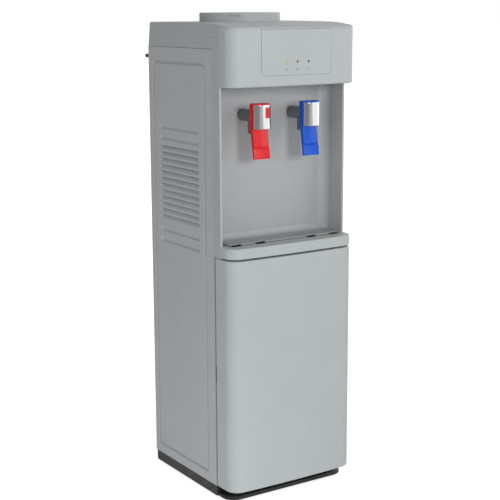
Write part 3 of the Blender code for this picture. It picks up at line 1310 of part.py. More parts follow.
def make_cold_tank():
    """The steel tank with the cooling coil round it, in its foam jacket."""
    foam_low = cradle_top + SEAT_GAP
    tank_low = foam_low + FOAM_FLOOR + SEAT_GAP
    tank_top = tank_low + COLD_TANK_HEIGHT
    foam_top = foam_low + FOAM_HEIGHT
    centre = (0, tank_y, 0)
    wall = TANK_WALL
    tank_profile = [(0, tank_low + wall), (cold_tank_radius - wall, tank_low + wall),
                    (cold_tank_radius - wall, tank_top), (cold_tank_radius, tank_top),
                    (cold_tank_radius, tank_low), (0, tank_low)]
    tank = turned("cold_tank", tank_profile, centre, steps=TANK_STEPS)
    for name, (x, y) in spigot_places().items():
        foot = (x, y, tank_low - SPIGOT_LENGTH + wall / 2)
        fuse(tank, rod(name, SPIGOT_RADIUS, SPIGOT_LENGTH, foot, steps=12))
        cut(tank, rod(name + "_bore", SPIGOT_BORE, SPIGOT_LENGTH + 2 * CUT_OVERRUN,
                      (x, y, tank_low - SPIGOT_LENGTH - CUT_OVERRUN), steps=12))
    as_part(tank, STEEL)

    bore = cold_tank_radius + SEAT_GAP
    height = COLD_TANK_HEIGHT * 0.7
    low = tank_low + COLD_TANK_HEIGHT * 0.12
    pitch = height / COIL_TURNS
    bulges = [(bore, low + height)]
    for i in range(COIL_TURNS):
        start = low + height - i * pitch
        bulges += [(bore + COIL_BULGE * 0.4, start), (bore + COIL_BULGE, start - pitch * 0.3),
                   (bore + COIL_BULGE, start - pitch * 0.7)]
    bulges += [(bore + COIL_BULGE * 0.4, low), (bore, low)]
    coil = turned("evaporator_coil", bulges, centre, steps=TANK_STEPS, closed=True)
    as_part(coil, COPPER)

    inside = foam_radius - FOAM_WALL
    foam_profile = [(0, foam_low + FOAM_FLOOR), (inside, foam_low + FOAM_FLOOR), (inside, foam_top),
                    (foam_radius, foam_top), (foam_radius, foam_low), (0, foam_low)]
    foam = turned("foam_jacket", foam_profile, centre, steps=TANK_STEPS)
    for name, (x, y) in spigot_places().items():
        cut(foam, rod(name + "_foam_hole", SPIGOT_RADIUS + SLIDE_GAP, FOAM_FLOOR + 2 * CUT_OVERRUN,
                      (x, y, foam_low - CUT_OVERRUN), steps=12))
    as_part(foam, FOAM)
    return foam_low, tank_low


def make_hot_tank():
    """The heated tank with its band heater."""
    low = tank_shelf_top + SEAT_GAP
    high = low + HOT_TANK_HEIGHT
    y = tank_y
    dome = hot_tank_radius * 0.18
    shrink = hot_tank_radius * 0.7
    profile = [(0, high + dome), (shrink, high + dome * 0.6), (hot_tank_radius, high - dome),
               (hot_tank_radius, low + dome), (shrink, low), (0, low)]
    tank = turned("hot_tank", profile, (HOT_TANK_X, y, 0), steps=TANK_STEPS)
    outlet_low = high + dome / 2
    fuse(tank, rod("hot_outlet", SPIGOT_RADIUS, SPIGOT_RADIUS * 3, (HOT_TANK_X, y, outlet_low), steps=12))
    side_z = low + 2 * dome
    reach = hot_tank_radius + SPIGOT_RADIUS * 2
    fuse(tank, rod("hot_inlet", SPIGOT_RADIUS, reach, (HOT_TANK_X, y, side_z), "X", 12))
    fuse(tank, rod("hot_drain", SPIGOT_RADIUS, reach, (HOT_TANK_X, y, side_z), "Y", 12))
    as_part(tank, STEEL)

    bore = hot_tank_radius + SEAT_GAP
    outside = bore + HEATER_THICKNESS
    band_low = low + HEATER_RISE
    band_profile = [(outside, band_low + HEATER_HEIGHT), (outside, band_low), (bore, band_low),
                    (bore, band_low + HEATER_HEIGHT)]
    band = turned("heater_band", band_profile, (HOT_TANK_X, y, 0), steps=TANK_STEPS, closed=True)
    as_part(band, ZINC)

    return {"top": (HOT_TANK_X, y, outlet_low + SPIGOT_RADIUS * 3),
            "inlet": (HOT_TANK_X + reach, y, side_z), "drain": (HOT_TANK_X, y + reach, side_z)}


def make_hoses(tank_low, hot):
    """The silicone hoses between the tanks, the taps and the drain."""
    r = HOSE_RADIUS
    spigots = spigot_places()
    spigot_low = tank_low - SPIGOT_LENGTH + TANK_WALL / 2
    stub_end = recess_back + TAP_STUB_LENGTH + SEAT_GAP
    riser_y = stub_end + 2.4 * r

    def tap_end(x):
        """The last points of a hose that rises behind a tap and turns into its stub."""
        return [(x, riser_y, tap_level - 8 * r), (x, riser_y, tap_level - 3 * r),
                (x, stub_end + 2 * r, tap_level - 0.8 * r), (x, stub_end + r, tap_level),
                (x, stub_end, tap_level)]

    x, y = spigots["cold_outlet"]
    z = spigot_low - SEAT_GAP
    cold_x = TAP_SPACING / 2
    start = [(x, y, z), (x, y, z - 2 * r), (x, y - 3 * r, z - 5 * r)]
    cold = start + [(middle((x, cold_x)), middle((y, riser_y)), z - 6 * r),
                    (cold_x, riser_y + r, z - 2 * r), (cold_x, riser_y, cradle_top)] + tap_end(cold_x)
    as_part(tube("cold_hose", smooth_path(cold), r), SILICONE)

    x, y, z = hot["top"]
    z += SEAT_GAP
    bend = z + 1.6 * r
    hot_x = -TAP_SPACING / 2
    path = [(x, y, z), (x, y, z + r / 2), (x - r, y - 3 * r, bend),
            (middle((x, hot_x)), cradle_front, bend - r / 2),
            (hot_x, riser_y - r, bend), (hot_x, riser_y, cradle_top + 6 * r)] + tap_end(hot_x)
    as_part(tube("hot_hose", smooth_path(path), r), SILICONE)

    x, y = spigots["link_outlet"]
    z = spigot_low - SEAT_GAP
    end = hot["inlet"]
    out = x + r
    path = [(x, y, z), (x, y, z - 3 * r), (out, y, middle((z, end[2]))), (out, y, end[2] + 4 * r),
            (middle((out, end[0])), middle((y, end[1])), end[2] + r / 2), (end[0] + 2 * r, end[1], end[2]),
            (end[0] + SEAT_GAP, end[1], end[2])]
    as_part(tube("link_hose", smooth_path(path), r), SILICONE)

    x, y, z = hot["drain"]
    back = panel_rear - SHEET - REAR_SHEET - 4 * r
    port_end = panel_rear - SHEET - REAR_SHEET - PORT_LENGTH
    shelf_rear = tank_shelf_rear + 2 * r
    path = [(x, y + SEAT_GAP, z), (x, y + 2 * r, z), (x - r, shelf_rear, z - 2 * r),
            (middle((x, port_x)), back, z - 12 * r), (port_x, back, z - 28 * r),
            (port_x, back, middle((z, PORT_HEIGHT))), (port_x, back, PORT_HEIGHT + 8 * r),
            (port_x, back + r / 2, PORT_HEIGHT + 2 * r), (port_x, port_end - r, PORT_HEIGHT),
            (port_x, port_end - SEAT_GAP, PORT_HEIGHT)]
    as_part(tube("drain_hose", smooth_path(path), r), SILICONE)
    return port_end


def make_compressor():
    """The hermetic compressor on its mounting plate, with its relay cover."""
    plate_low = FOOT_PROUD + PLINTH_WALL + MOUNT_BOSS_HEIGHT + SEAT_GAP
    shell_low = plate_low + COMPRESSOR_PLATE / 2
    high = shell_low + COMPRESSOR_HEIGHT
    radius = COMPRESSOR_RADIUS
    waist = middle((shell_low, high))
    profile = [(0, high)]
    for share, up in ((0.45, 0.97), (0.8, 0.86), (0.97, 0.7), (1.0, 0.56)):
        profile.append((radius * share, shell_low + COMPRESSOR_HEIGHT * up))
    weld = COMPRESSOR_PLATE / 2
    profile += [(radius + weld, waist + weld), (radius + weld, waist - weld), (radius, waist - 2 * weld)]
    for share, up in ((0.98, 0.22), (0.85, 0.08), (0.5, 0.0)):
        profile.append((radius * share, shell_low + COMPRESSOR_HEIGHT * up))
    profile.append((0, shell_low))
    centre = (COMPRESSOR_X, compressor_y, 0)
    compressor = turned("compressor", profile, centre, steps=TANK_STEPS)
    feet = block("compressor_plate",
                 (COMPRESSOR_X - COMPRESSOR_FOOT_WIDTH / 2, COMPRESSOR_X + COMPRESSOR_FOOT_WIDTH / 2),
                 (compressor_y - COMPRESSOR_FOOT_DEPTH / 2, compressor_y + COMPRESSOR_FOOT_DEPTH / 2),
                 (plate_low, plate_low + COMPRESSOR_PLATE))
    fuse(compressor, feet)
    stub_z = shell_low + STUB_HEIGHT
    reach = radius + STUB_LENGTH
    middle_place = (COMPRESSOR_X, compressor_y, stub_z)
    fuse(compressor, rod("suction_stub", STUB_RADIUS, reach, middle_place, "X", 12))
    fuse(compressor, rod("discharge_stub", STUB_RADIUS, reach, middle_place, "-X", 12))
    as_part(compressor, BLACK)

    return {"suction": (COMPRESSOR_X + reach, compressor_y, stub_z),
            "discharge": (COMPRESSOR_X - reach, compressor_y, stub_z)}


def make_condenser():
    """The serpentine tube behind the cabinet and the grid that stiffens it."""
    tube_y = OVERALL_DEPTH / 2 - CONDENSER_TUBE
    half = condenser_width / 2
    bend = CONDENSER_PITCH / 2
    back = panel_rear - SHEET - SEAT_GAP
    inside = back - REAR_SHEET - CONDENSER_PITCH / 2
    service_top = plinth_top + SERVICE_BOTTOM + SERVICE_HEIGHT
    dip = service_top - CONDENSER_PITCH / 3
    tail_x = service_width / 2 - CONDENSER_TUBE * 5
    points = [(-tail_x, back - REAR_SHEET, dip), (-tail_x, tube_y - bend / 3, dip),
              (-tail_x, tube_y, dip + bend / 3), (-tail_x, tube_y, CONDENSER_BOTTOM - bend / 4),
              (-tail_x + bend / 4, tube_y, CONDENSER_BOTTOM)]
    for run in range(CONDENSER_RUNS):
        z = CONDENSER_BOTTOM + run * CONDENSER_PITCH
        side = 1 if run % 2 == 0 else -1
        end_x = side * (half - bend)
        if run == CONDENSER_RUNS - 1:
            break
        for k in range(CURVE_STEPS + 1):
            angle = math.pi * k / CURVE_STEPS
            points.append((end_x + side * bend * math.sin(angle), tube_y,
                           z + bend - bend * math.cos(angle)))
    top = CONDENSER_BOTTOM + (CONDENSER_RUNS - 1) * CONDENSER_PITCH
    points.append((end_x, tube_y, top))
    condenser = tube("condenser_tube", points, CONDENSER_TUBE)
    as_part(condenser, BLACK)

    grid_back = tube_y - CONDENSER_TUBE - SEAT_GAP
    low = CONDENSER_BOTTOM - bend / 2
    high = top + bend / 2
    cell = condenser_width / GRID_BARS
    bar = cell * GRID_BAR_SHARE
    grid = block("condenser_grid", (-half, half), (grid_back - GRID_THICKNESS, grid_back), (low, high))
    windows = []
    for i in range(GRID_BARS):
        left = -half + i * cell + bar / 2
        windows.append(((left, left + cell - bar),
                        (grid_back - GRID_THICKNESS - CUT_OVERRUN, grid_back + CUT_OVERRUN),
                        (low + bar, high - bar)))
    cut(grid, boxes("grid_windows", windows))
    standoffs = []
    for side in (-1, 1):
        x = tuple(sorted((side * (half - bar / 4), side * (half - GRID_STANDOFF))))
        for z in ((low + bar / 4, low + GRID_STANDOFF), (high - GRID_STANDOFF, high - bar / 4)):
            standoffs.append((x, (back + SEAT_GAP, grid_back - GRID_THICKNESS / 2), z))
    fuse(grid, boxes("grid_standoffs", standoffs))
    as_part(grid, BLACK)
    return {"inlet": (-tail_x, back - REAR_SHEET, dip), "outlet": (end_x, tube_y, top)}


def make_lines(stubs, condenser, foam_low):
    """Copper lines of the cooling circuit and the drier."""
    r = LINE_RADIUS
    back = panel_rear - SHEET - REAR_SHEET - 6 * r
    x, y, z = stubs["discharge"]
    end = condenser["inlet"]
    halfway = (middle((x - 3 * r, end[0])), middle((y, back)), middle((z, end[2])))
    path = [(x - SEAT_GAP, y, z), (x - 3 * r, y, z), halfway,
            (end[0], end[1] - 4 * r, end[2]), (end[0], end[1] - SEAT_GAP, end[2])]
    as_part(tube("discharge_line", smooth_path(path), r), COPPER)

    angle = math.radians(45)
    out = Vector((math.cos(angle), math.sin(angle)))
    level = foam_low + FOAM_FLOOR
    clear_radius = foam_radius + SEAT_GAP * 2 + r
    foam_edge = [(out.x * (clear_radius + reach), tank_y + out.y * (clear_radius + reach))
                 for reach in (0.0, 2 * r)]
    x, y, z = stubs["suction"]
    side_x = half_width - SHEET - 12 * r
    path = [(foam_edge[0][0], foam_edge[0][1], level), (foam_edge[1][0], foam_edge[1][1], level - 2 * r),
            (middle((foam_edge[1][0], side_x)), back, level - 14 * r), (side_x, back, tank_shelf_top),
            (side_x, back, middle((z, tank_shelf_top))), (side_x, back - r, z + 16 * r),
            (side_x - r, middle((y, back)), z + 5 * r), (x + 5 * r, y + r, z + r), (x + 2 * r, y, z),
            (x + SEAT_GAP, y, z)]
    as_part(tube("suction_line", smooth_path(path), r), COPPER)

    drier_y = compressor_y + DRIER_RADIUS
    drier_low = FOOT_PROUD + PLINTH_WALL + SEAT_GAP
    neck = DRIER_RADIUS * 0.35
    shoulder = DRIER_RADIUS * 1.4
    drier_top = drier_low + DRIER_LENGTH
    drier_x = DRIER_X + DRIER_RADIUS * 3
    profile = [(0, drier_top), (neck, drier_top), (DRIER_RADIUS, drier_top - shoulder),
               (DRIER_RADIUS, drier_low + shoulder), (neck, drier_low), (0, drier_low)]
    as_part(turned("filter_drier", profile, (drier_x, drier_y, 0), steps=SMALL_STEPS), COPPER)


def make_rear_fittings(rear_face, port_end):
    """The switch plate with its two rockers, the cord gland and the drain port with its plug."""
    z = seam_level - SWITCH_PLATE_DROP
    half = SWITCH_PLATE_WIDTH / 2
    face = rear_face + SEAT_GAP + SWITCH_PLATE_THICKNESS
    plate = block("switch_plate", (-half, half), (rear_face + SEAT_GAP, face),
                  (z - SWITCH_PLATE_HEIGHT / 2, z + SWITCH_PLATE_HEIGHT / 2))
    margin = SLIDE_GAP * 2
    tall = ROCKER_HEIGHT / 2
    for name, side in (("hot_switch", -1), ("cold_switch", 1)):
        x = side * SWITCH_SPACING / 2
        wide = ROCKER_WIDTH / 2
        cut(plate, block(name + "_window", (x - wide - SEAT_GAP, x + wide + SEAT_GAP),
                         (rear_face - CUT_OVERRUN, face + CUT_OVERRUN),
                         (z - tall - 2 * margin, z + tall + 2 * margin)))
    as_part(plate, DARK)

    for name, side, mat in (("hot_switch", -1, RED), ("cold_switch", 1, BLUE)):
        x = side * SWITCH_SPACING / 2
        wide = ROCKER_WIDTH / 2
        pivot_y = face - SWITCH_PLATE_THICKNESS
        axis = joint_axis(name + "_axis", (x, pivot_y, z))
        dip = ROCKER_PROUD * 1.5
        profile = [(pivot_y - tall / 2, z), (pivot_y, z - tall), (face + ROCKER_PROUD, z - tall),
                   (face + ROCKER_PROUD - dip / 3, z), (face + ROCKER_PROUD, z + tall), (pivot_y, z + tall)]
        rocker = side_prism(name, profile, (x - wide, x + wide))
        rocker.location = Vector((x, pivot_y, z))
        rocker.data.transform(Matrix.Translation((-pivot_y, -z, 0)))
        as_part(rocker, mat, axis)
        axis.rotation_euler = (math.radians(-ROCKER_TILT), 0, 0)

    inner_y = panel_rear - SHEET - REAR_SHEET - GLAND_LENGTH
    start = rear_face + SEAT_GAP
    head = GLAND_LENGTH
    neck_start = start - inner_y
    profile = [(GLAND_BORE, neck_start + head), (GLAND_RADIUS * 0.7, neck_start + head),
               (GLAND_RADIUS, neck_start + GLAND_COLLAR), (GLAND_RADIUS, neck_start), (GLAND_NECK, neck_start),
               (GLAND_NECK, 0), (GLAND_BORE, 0)]
    gland_place = (gland_x, inner_y, PORT_HEIGHT)
    as_part(turned("cord_gland", profile, gland_place, "Y", SMALL_STEPS, closed=True), DARK)

    start = rear_face + SEAT_GAP - port_end
    collar = PORT_RADIUS + PORT_BORE / 2
    profile = [(PORT_BORE, start + PORT_LENGTH), (PORT_RADIUS, start + PORT_LENGTH),
               (PORT_RADIUS, start + WALL), (collar, start + WALL), (collar, start),
               (PORT_RADIUS, start), (PORT_RADIUS, 0), (PORT_BORE, 0)]
    port_place = (port_x, port_end, PORT_HEIGHT)
    as_part(turned("drain_port", profile, port_place, "Y", SMALL_STEPS, closed=True), WHITE)

    port_tip = port_end + start + PORT_LENGTH
    axis = joint_axis("drain_plug_axis", (port_x, port_tip, PORT_HEIGHT))
    stem = PORT_BORE - SEAT_GAP
    plug_profile = [(0, PLUG_LENGTH), (PLUG_RADIUS * 0.8, PLUG_LENGTH), (PLUG_RADIUS, PLUG_LENGTH * 0.7),
                    (PLUG_RADIUS, SEAT_GAP), (stem, SEAT_GAP), (stem, -PLUG_LENGTH), (0, -PLUG_LENGTH)]
    plug = turned("drain_plug", plug_profile, (port_x, port_tip, PORT_HEIGHT), "Y", SMALL_STEPS)
    as_part(plug, RUBBER, axis)


def main():
    make_plinth()
    make_feet()
    make_side_panel("side_panel_left", -1)
    make_side_panel("side_panel_right", 1)
    rear_face = make_rear_panel()
    make_studs()
    make_top_cover()
    make_header()
    make_recess_panel()
    make_door_frame()
    make_cabinet_liner()
    make_shelf()
    make_drip_tray()
    make_door()
    make_hinges()
    for name, x in tap_places():
        axis, inside_front = make_tap(name, x, RED if name == "hot" else BLUE)
        if name == "hot":
            make_child_lock(x, inside_front)
    make_bottle_seat()
    make_tank_shelf()
    foam_low, tank_low = make_cold_tank()
    hot = make_hot_tank()
    port_end = make_hoses(tank_low, hot)
    stubs = make_compressor()
    condenser = make_condenser()
    make_lines(stubs, condenser, foam_low)
    make_rear_fittings(rear_face, port_end)


main()
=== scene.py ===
"""The free-standing water dispenser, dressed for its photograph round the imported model.

Metres, +Z up, front towards -Y. Each piece that shows well is built here in mesh code at the place
of its node and rides on that node's body; the other nodes keep their own solids and are repainted.
"""
from math import asin, atan2, cos, pi, radians, sin, tan, tau

import bmesh
import bpy
from mathutils import Matrix, Vector


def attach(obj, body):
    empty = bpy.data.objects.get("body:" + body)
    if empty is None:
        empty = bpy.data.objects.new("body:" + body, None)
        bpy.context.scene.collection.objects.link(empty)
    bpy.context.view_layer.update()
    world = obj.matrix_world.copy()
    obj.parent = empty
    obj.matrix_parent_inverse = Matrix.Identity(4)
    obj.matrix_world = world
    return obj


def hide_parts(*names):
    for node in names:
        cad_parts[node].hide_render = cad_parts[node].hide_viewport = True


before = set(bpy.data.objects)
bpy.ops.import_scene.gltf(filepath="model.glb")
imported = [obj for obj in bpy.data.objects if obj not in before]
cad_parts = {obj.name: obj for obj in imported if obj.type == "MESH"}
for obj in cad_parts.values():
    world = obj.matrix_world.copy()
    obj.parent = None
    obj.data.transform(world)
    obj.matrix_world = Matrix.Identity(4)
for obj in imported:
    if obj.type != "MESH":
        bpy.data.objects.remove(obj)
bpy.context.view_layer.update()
scene = bpy.context.scene

HALF = 0.155  # half the body's width
HEADER_FACE = -0.18
DOOR_FACE = -0.1758
DOOR_REAR = -0.113
SPLIT = -0.1335  # seam plane of header, shelf and recess panel
MOULDING_REAR = SPLIT - 0.0003
PANEL_FRONT = -0.105
PANEL_REAR = 0.1558
RECESS_BACK = -0.07
CORNER = 0.0275  # radius of the front's upright corners
BOW = 0.0038  # how far the middle of the front stands before its corners
COLLAR_Y = 0.032
TAP_X = 0.0615
TAP_Z = 0.804
CAP_FACE = -0.1535
PIN_BORE = 0.0021


# Shader nodes

def feed(tree, node, inputs):
    """Set a node's inputs by name or number, or link the sockets that feed them."""
    for name, value in inputs.items():
        if isinstance(value, bpy.types.NodeSocket):
            tree.links.new(value, node.inputs[name])
        else:
            node.inputs[name].default_value = value


def new_node(tree, kind, inputs=None, **settings):
    node = tree.nodes.new("ShaderNode" + kind)
    for name, value in settings.items():
        setattr(node, name, value)
    feed(tree, node, inputs or {})
    return node


def node_tree(name):
    mat = bpy.data.materials.new(name)
    mat.use_nodes = True
    tree = mat.node_tree
    return mat, tree, tree.nodes["Principled BSDF"]


def noise(tree, coords, size, detail=2.0, rough=0.5, stretch=None):
    """A noise texture over the object's own coordinates; size is the features' size in metres."""
    if stretch is not None:
        coords = new_node(tree, "Mapping", {"Scale": stretch, "Vector": coords}).outputs["Vector"]
    return new_node(tree, "TexNoise", {"Scale": 1.0 / size, "Detail": detail, "Roughness": rough,
                                       "Vector": coords}).outputs["Fac"]


def remap(tree, value, low, high, start=0.3, end=0.7, interpolation="LINEAR"):
    ends = {"From Min": start, "From Max": end, "To Min": low, "To Max": high, "Value": value}
    return new_node(tree, "MapRange", ends, interpolation_type=interpolation).outputs["Result"]


def span(tree, value, start, end, low, high):
    """A smooth step of a value."""
    return remap(tree, value, low, high, start, end, "SMOOTHSTEP")


def combine(tree, operation, first, second):
    return new_node(tree, "Math", {0: first, 1: second}, operation=operation).outputs[0]


def blend(tree, factor, first, second):
    """A colour between two, by a factor; each is a colour or a socket."""
    a, b = ((*c, 1.0) if isinstance(c, tuple) else c for c in (first, second))
    return new_node(tree, "Mix", {"Factor": factor, 6: a, 7: b}, data_type="RGBA").outputs[2]


# Materials

def shade(colour, amount):
    return tuple(min(1.0, c * amount) for c in colour)


def surface(name, colour, roughness, metallic=0.0, vary=0.05, vary_size=0.09, spread=0.06,
            grain=0.1, grain_size=0.0006, fleck=0.0, stretch=None, coat=0.0, specular=0.5,
            dust=0.0):
    """A moulded, painted or metal surface.

    Slow tone changes, uneven gloss, a fine surface grain and, for paint, small flecks.
    """
    mat, tree, shader = node_tree(name)
    coords = new_node(tree, "TexCoord").outputs["Object"]
    slow = noise(tree, coords, vary_size, 3.0)
    tone = blend(tree, remap(tree, slow, 0.0, 1.0), shade(colour, 1 - vary),
                 shade(colour, 1 + vary))
    if fleck:
        fine = noise(tree, coords, grain_size * 1.5, 1.0)
        share = remap(tree, fine, 0.0, fleck, 0.52, 0.75)
        tone = blend(tree, share, tone, shade(colour, 1.45))
    if dust:
        patches = noise(tree, coords, 0.02, 4.0, 0.6)
        tone = blend(tree, remap(tree, patches, 0.0, dust, 0.5, 0.75), tone, (0.42, 0.4, 0.37))
    gloss = noise(tree, coords, 0.012, 3.0, 0.55, stretch)
    bump = new_node(tree, "Bump", {
        "Strength": grain, "Distance": 0.0004,
        "Height": noise(tree, coords, grain_size, 2.0, 0.5, stretch)})
    feed(tree, shader, {
        "Base Color": tone, "Metallic": metallic, "Specular IOR Level": specular,
        "Roughness": remap(tree, gloss, roughness - spread, roughness + spread),
        "Coat Weight": coat, "Coat Roughness": 0.12, "Normal": bump.outputs["Normal"]})
    return mat


SILVER = surface("silver_paint", (0.468, 0.5, 0.5), 0.5, vary=0.02, fleck=0.2, grain=0.06)
COVER = surface("cover_paint", (0.432, 0.454, 0.46), 0.5, vary=0.02, fleck=0.2, grain=0.08)
SHEET = surface("sheet_paint", (0.478, 0.489, 0.5), 0.5, vary=0.02, fleck=0.15, grain=0.14,
                grain_size=0.0011)
RECESS = surface("recess_plastic", (0.45, 0.462, 0.466), 0.4, vary=0.02, grain=0.07)
PLATE = surface("tray_plastic", (0.345, 0.354, 0.354), 0.42, vary=0.04, grain=0.12, dust=0.05)
DARK = surface("dark_plastic", (0.052, 0.052, 0.05), 0.55, vary=0.12, grain=0.25,
               grain_size=0.0009, dust=0.12)
NECK = surface("tap_plastic", (0.155, 0.158, 0.162), 0.42)
# Near-black plastic for the plinth's front lip: dark plastic, darkened further as painted shade
# under the door's overhang.
SHADED_LIP = surface("lip_plastic_painted_shade", (0.016, 0.018, 0.018), 0.5, vary=0.12, grain=0.2,
              grain_size=0.0009, dust=0.03)
RED = surface("red_plastic", (0.76, 0.01, 0.017), 0.34, vary=0.03, grain=0.05, specular=0.32)
BLUE = surface("blue_plastic", (0.0005, 0.092, 0.6), 0.34, vary=0.03, grain=0.05, specular=0.26)
CHROME = surface("chrome_plate", (0.8, 0.8, 0.81), 0.07, metallic=1.0, vary=0.015,
                 spread=0.015, grain=0.004)
STEEL = surface("stainless", (0.6, 0.6, 0.58), 0.3, metallic=1.0, stretch=(1, 1, 30))
ZINC = surface("zinc_sheet", (0.5, 0.51, 0.52), 0.45, metallic=0.7, vary=0.1, vary_size=0.02,
               grain=0.12, dust=0.1)
BLACK = surface("black_enamel", (0.014, 0.014, 0.015), 0.38, vary=0.2, spread=0.08, grain=0.15,
                dust=0.15)
COPPER = surface("copper_tube", (0.7, 0.33, 0.2), 0.3, metallic=1.0, vary=0.12, vary_size=0.03)
FOAM = surface("foam", (0.84, 0.85, 0.83), 0.9, vary=0.04, vary_size=0.004, grain=0.9,
               grain_size=0.0035)
WHITE = surface("white_plastic", (0.7, 0.71, 0.7), 0.42, vary=0.03, grain=0.12, dust=0.04)
HOSE = surface("silicone", (0.66, 0.68, 0.66), 0.45, grain=0.08)
RUBBER = surface("rubber", (0.022, 0.022, 0.022), 0.75, vary=0.2, grain=0.4, grain_size=0.0012,
                 dust=0.2)
BOARD = surface("board", (0.02, 0.15, 0.06), 0.45, vary=0.15, vary_size=0.006, grain=0.2)
PRINT = surface("grey_print", (0.2, 0.215, 0.215), 0.5, grain=0.05)
GREEN_LENS = surface("green_lens", (0.36, 0.52, 0.13), 0.16, grain=0.02, coat=0.6)
RED_LENS = surface("red_lens", (0.22, 0.01, 0.055), 0.16, grain=0.02, coat=0.6)
DARK_LENS = surface("dark_lens", (0.02, 0.03, 0.024), 0.16, grain=0.02, coat=0.6)


# Outlines and meshes

def rounded(points, radii, steps=8):
    """A closed outline with its corners rounded."""
    outline = []
    for i, radius in enumerate(radii):
        corner = Vector(points[i])
        before = Vector(points[i - 1]) - corner
        after = Vector(points[(i + 1) % len(points)]) - corner
        if radius <= 0:
            outline.append(tuple(corner))
            continue
        half = before.angle(after) / 2
        bisector = (before.normalized() + after.normalized()).normalized()
        centre = corner + bisector * (radius / sin(half))
        first = corner + before.normalized() * (radius / tan(half)) - centre
        last = corner + after.normalized() * (radius / tan(half)) - centre
        sweep = first.angle_signed(last)
        for k in range(steps + 1):
            outline.append(tuple(centre + Matrix.Rotation(-sweep * k / steps, 2) @ first))
    return outline


def box_outline(u, v, radius, steps=8, inset=0.0):
    """A rectangle with round corners, drawn in by an inset."""
    a, b, c, d = u[0] + inset, u[1] - inset, v[0] + inset, v[1] - inset
    return rounded([(a, c), (b, c), (b, d), (a, d)], [radius] * 4, steps)


def tenths(*pairs):
    """Points in metres from points in tenths of a millimetre."""
    return [(a / 1e4, b / 1e4) for a, b in pairs]


def bow(x, face):
    """The y of the bowed front at x."""
    return face + BOW * (x / HALF) ** 2


def bowed(face, rear, inset=0.0, rear_inset=0.0):
    """The plan outline of a front moulding, from its rear left corner round the front."""
    half, across = HALF - inset, 20
    corner_y = face + inset + BOW
    points = [(-half, rear - rear_inset), (-half, corner_y)]
    radii = [0.0, CORNER - inset]
    for k in range(1, across):
        x = half * (2 * k / across - 1) * 0.8
        points.append((x, corner_y - BOW * (1 - (x / half) ** 2)))
        radii.append(0.0)
    points += [(half, corner_y), (half, rear - rear_inset)]
    radii += [CORNER - inset, 0.0]
    return rounded(points, radii, 10)


def quarter_turn(steps, first=0):
    """The angles of a quarter circle's points."""
    return [pi / 2 * k / steps for k in range(first, steps + 1)]


def quarter(radius, steps=4):
    """(inset, height) pairs of a rounded edge, from its flat end to its wall."""
    return [(radius * (1 - sin(a)), radius * (1 - cos(a))) for a in quarter_turn(steps)]


def loft(rings, caps=(True, True), bm=None):
    """Faces between rings of equally many points, and over the first and last ring."""
    bm = bm or bmesh.new()
    rows = [[bm.verts.new(p) for p in ring] for ring in rings]
    count = len(rows[0])
    for a, b in zip(rows, rows[1:]):
        for i in range(count):
            j = (i + 1) % count
            bm.faces.new((a[i], a[j], b[j], b[i]))
    if caps[0]:
        bm.faces.new(rows[0][::-1])
    if caps[1]:
        bm.faces.new(rows[-1])
    return bm


def flat_ring(outline, z):
    return [(x, y, z) for x, y in outline]


def slab(outline, low, high, bm=None):
    """A prism of an (x, y) outline between two heights."""
    return loft([flat_ring(outline, low), flat_ring(outline, high)], bm=bm)


def front_slab(outline, near, far):
    """A prism of an (x, z) outline along y."""
    return loft([[(x, y, z) for x, z in outline] for y in (near, far)])


def rounded_block(outline_at, z0, z1, low, high, bm=None):
    """A vertical prism of outline_at(inset) with its lower and upper edges rounded."""
    rings = [flat_ring(outline_at(i), z0 + h) for i, h in quarter(low)]
    rings += [flat_ring(outline_at(i), z1 - h) for i, h in reversed(quarter(high))]
    return loft(rings, bm=bm)


def box(bm, x, y, z, r=0.0):
    """A box, with round vertical corners and soft edges where r is given."""
    if r:
        return rounded_block(lambda i: box_outline(x, y, max(r - i, r * 0.1), 3, i),
                             z[0], z[1], r * 0.8, r * 0.8, bm)
    made = bmesh.ops.create_cube(bm, size=1.0)["verts"]
    size = Matrix.Diagonal((x[1] - x[0], y[1] - y[0], z[1] - z[0], 1.0))
    place = Matrix.Translation(((x[0] + x[1]) / 2, (y[0] + y[1]) / 2, (z[0] + z[1]) / 2))
    bmesh.ops.transform(bm, matrix=place @ size, verts=made)
    return bm


def lathe(profile, centre, direction="Z", steps=48, bm=None):
    """A profile of (radius, height) turned about an axis; closed if it starts off the axis."""
    bm = bm or bmesh.new()
    turn = {"Z": Matrix.Identity(3), "Y": Matrix.Rotation(-pi / 2, 3, "X"),
            "X": Matrix.Rotation(pi / 2, 3, "Y")}[direction]
    rows = []
    for radius, height in profile:
        if radius < 1e-7:
            spokes = [(0, 0, height)]
        else:
            angles = [tau * k / steps for k in range(steps)]
            spokes = [(radius * cos(a), radius * sin(a), height) for a in angles]
        rows.append([bm.verts.new(Vector(centre) + turn @ Vector(s)) for s in spokes])
    pairs = list(zip(rows, rows[1:]))
    if len(rows[0]) > 1:
        pairs.append((rows[-1], rows[0]))
    for a, b in pairs:
        for k in range(steps):
            j = (k + 1) % steps
            if len(a) == 1:
                bm.faces.new((a[0], b[k], b[j]))
            elif len(b) == 1:
                bm.faces.new((a[k], a[j], b[0]))
            else:
                bm.faces.new((a[k], a[j], b[j], b[k]))
    return bm


def rod(radius, low, high, centre, direction="Z", steps=24, bm=None):
    """A cylinder along an axis through centre, from low to high."""
    return lathe([(0, high), (radius, high), (radius, low), (0, low)], centre, direction, steps, bm)


def soft_path(points, steps):
    """Points on a smooth curve through the given points."""
    p = [Vector(q) for q in points]
    p = [2 * p[0] - p[1]] + p + [2 * p[-1] - p[-2]]
    path = []
    for i in range(1, len(p) - 2):
        a, b, c, d = p[i - 1:i + 3]
        for k in range(steps):
            t = k / steps
            path.append(0.5 * (2 * b + (c - a) * t + (2 * a - 5 * b + 4 * c - d) * t * t
                               + (3 * b - a - 3 * c + d) * t ** 3))
    path.append(p[-2])
    return path


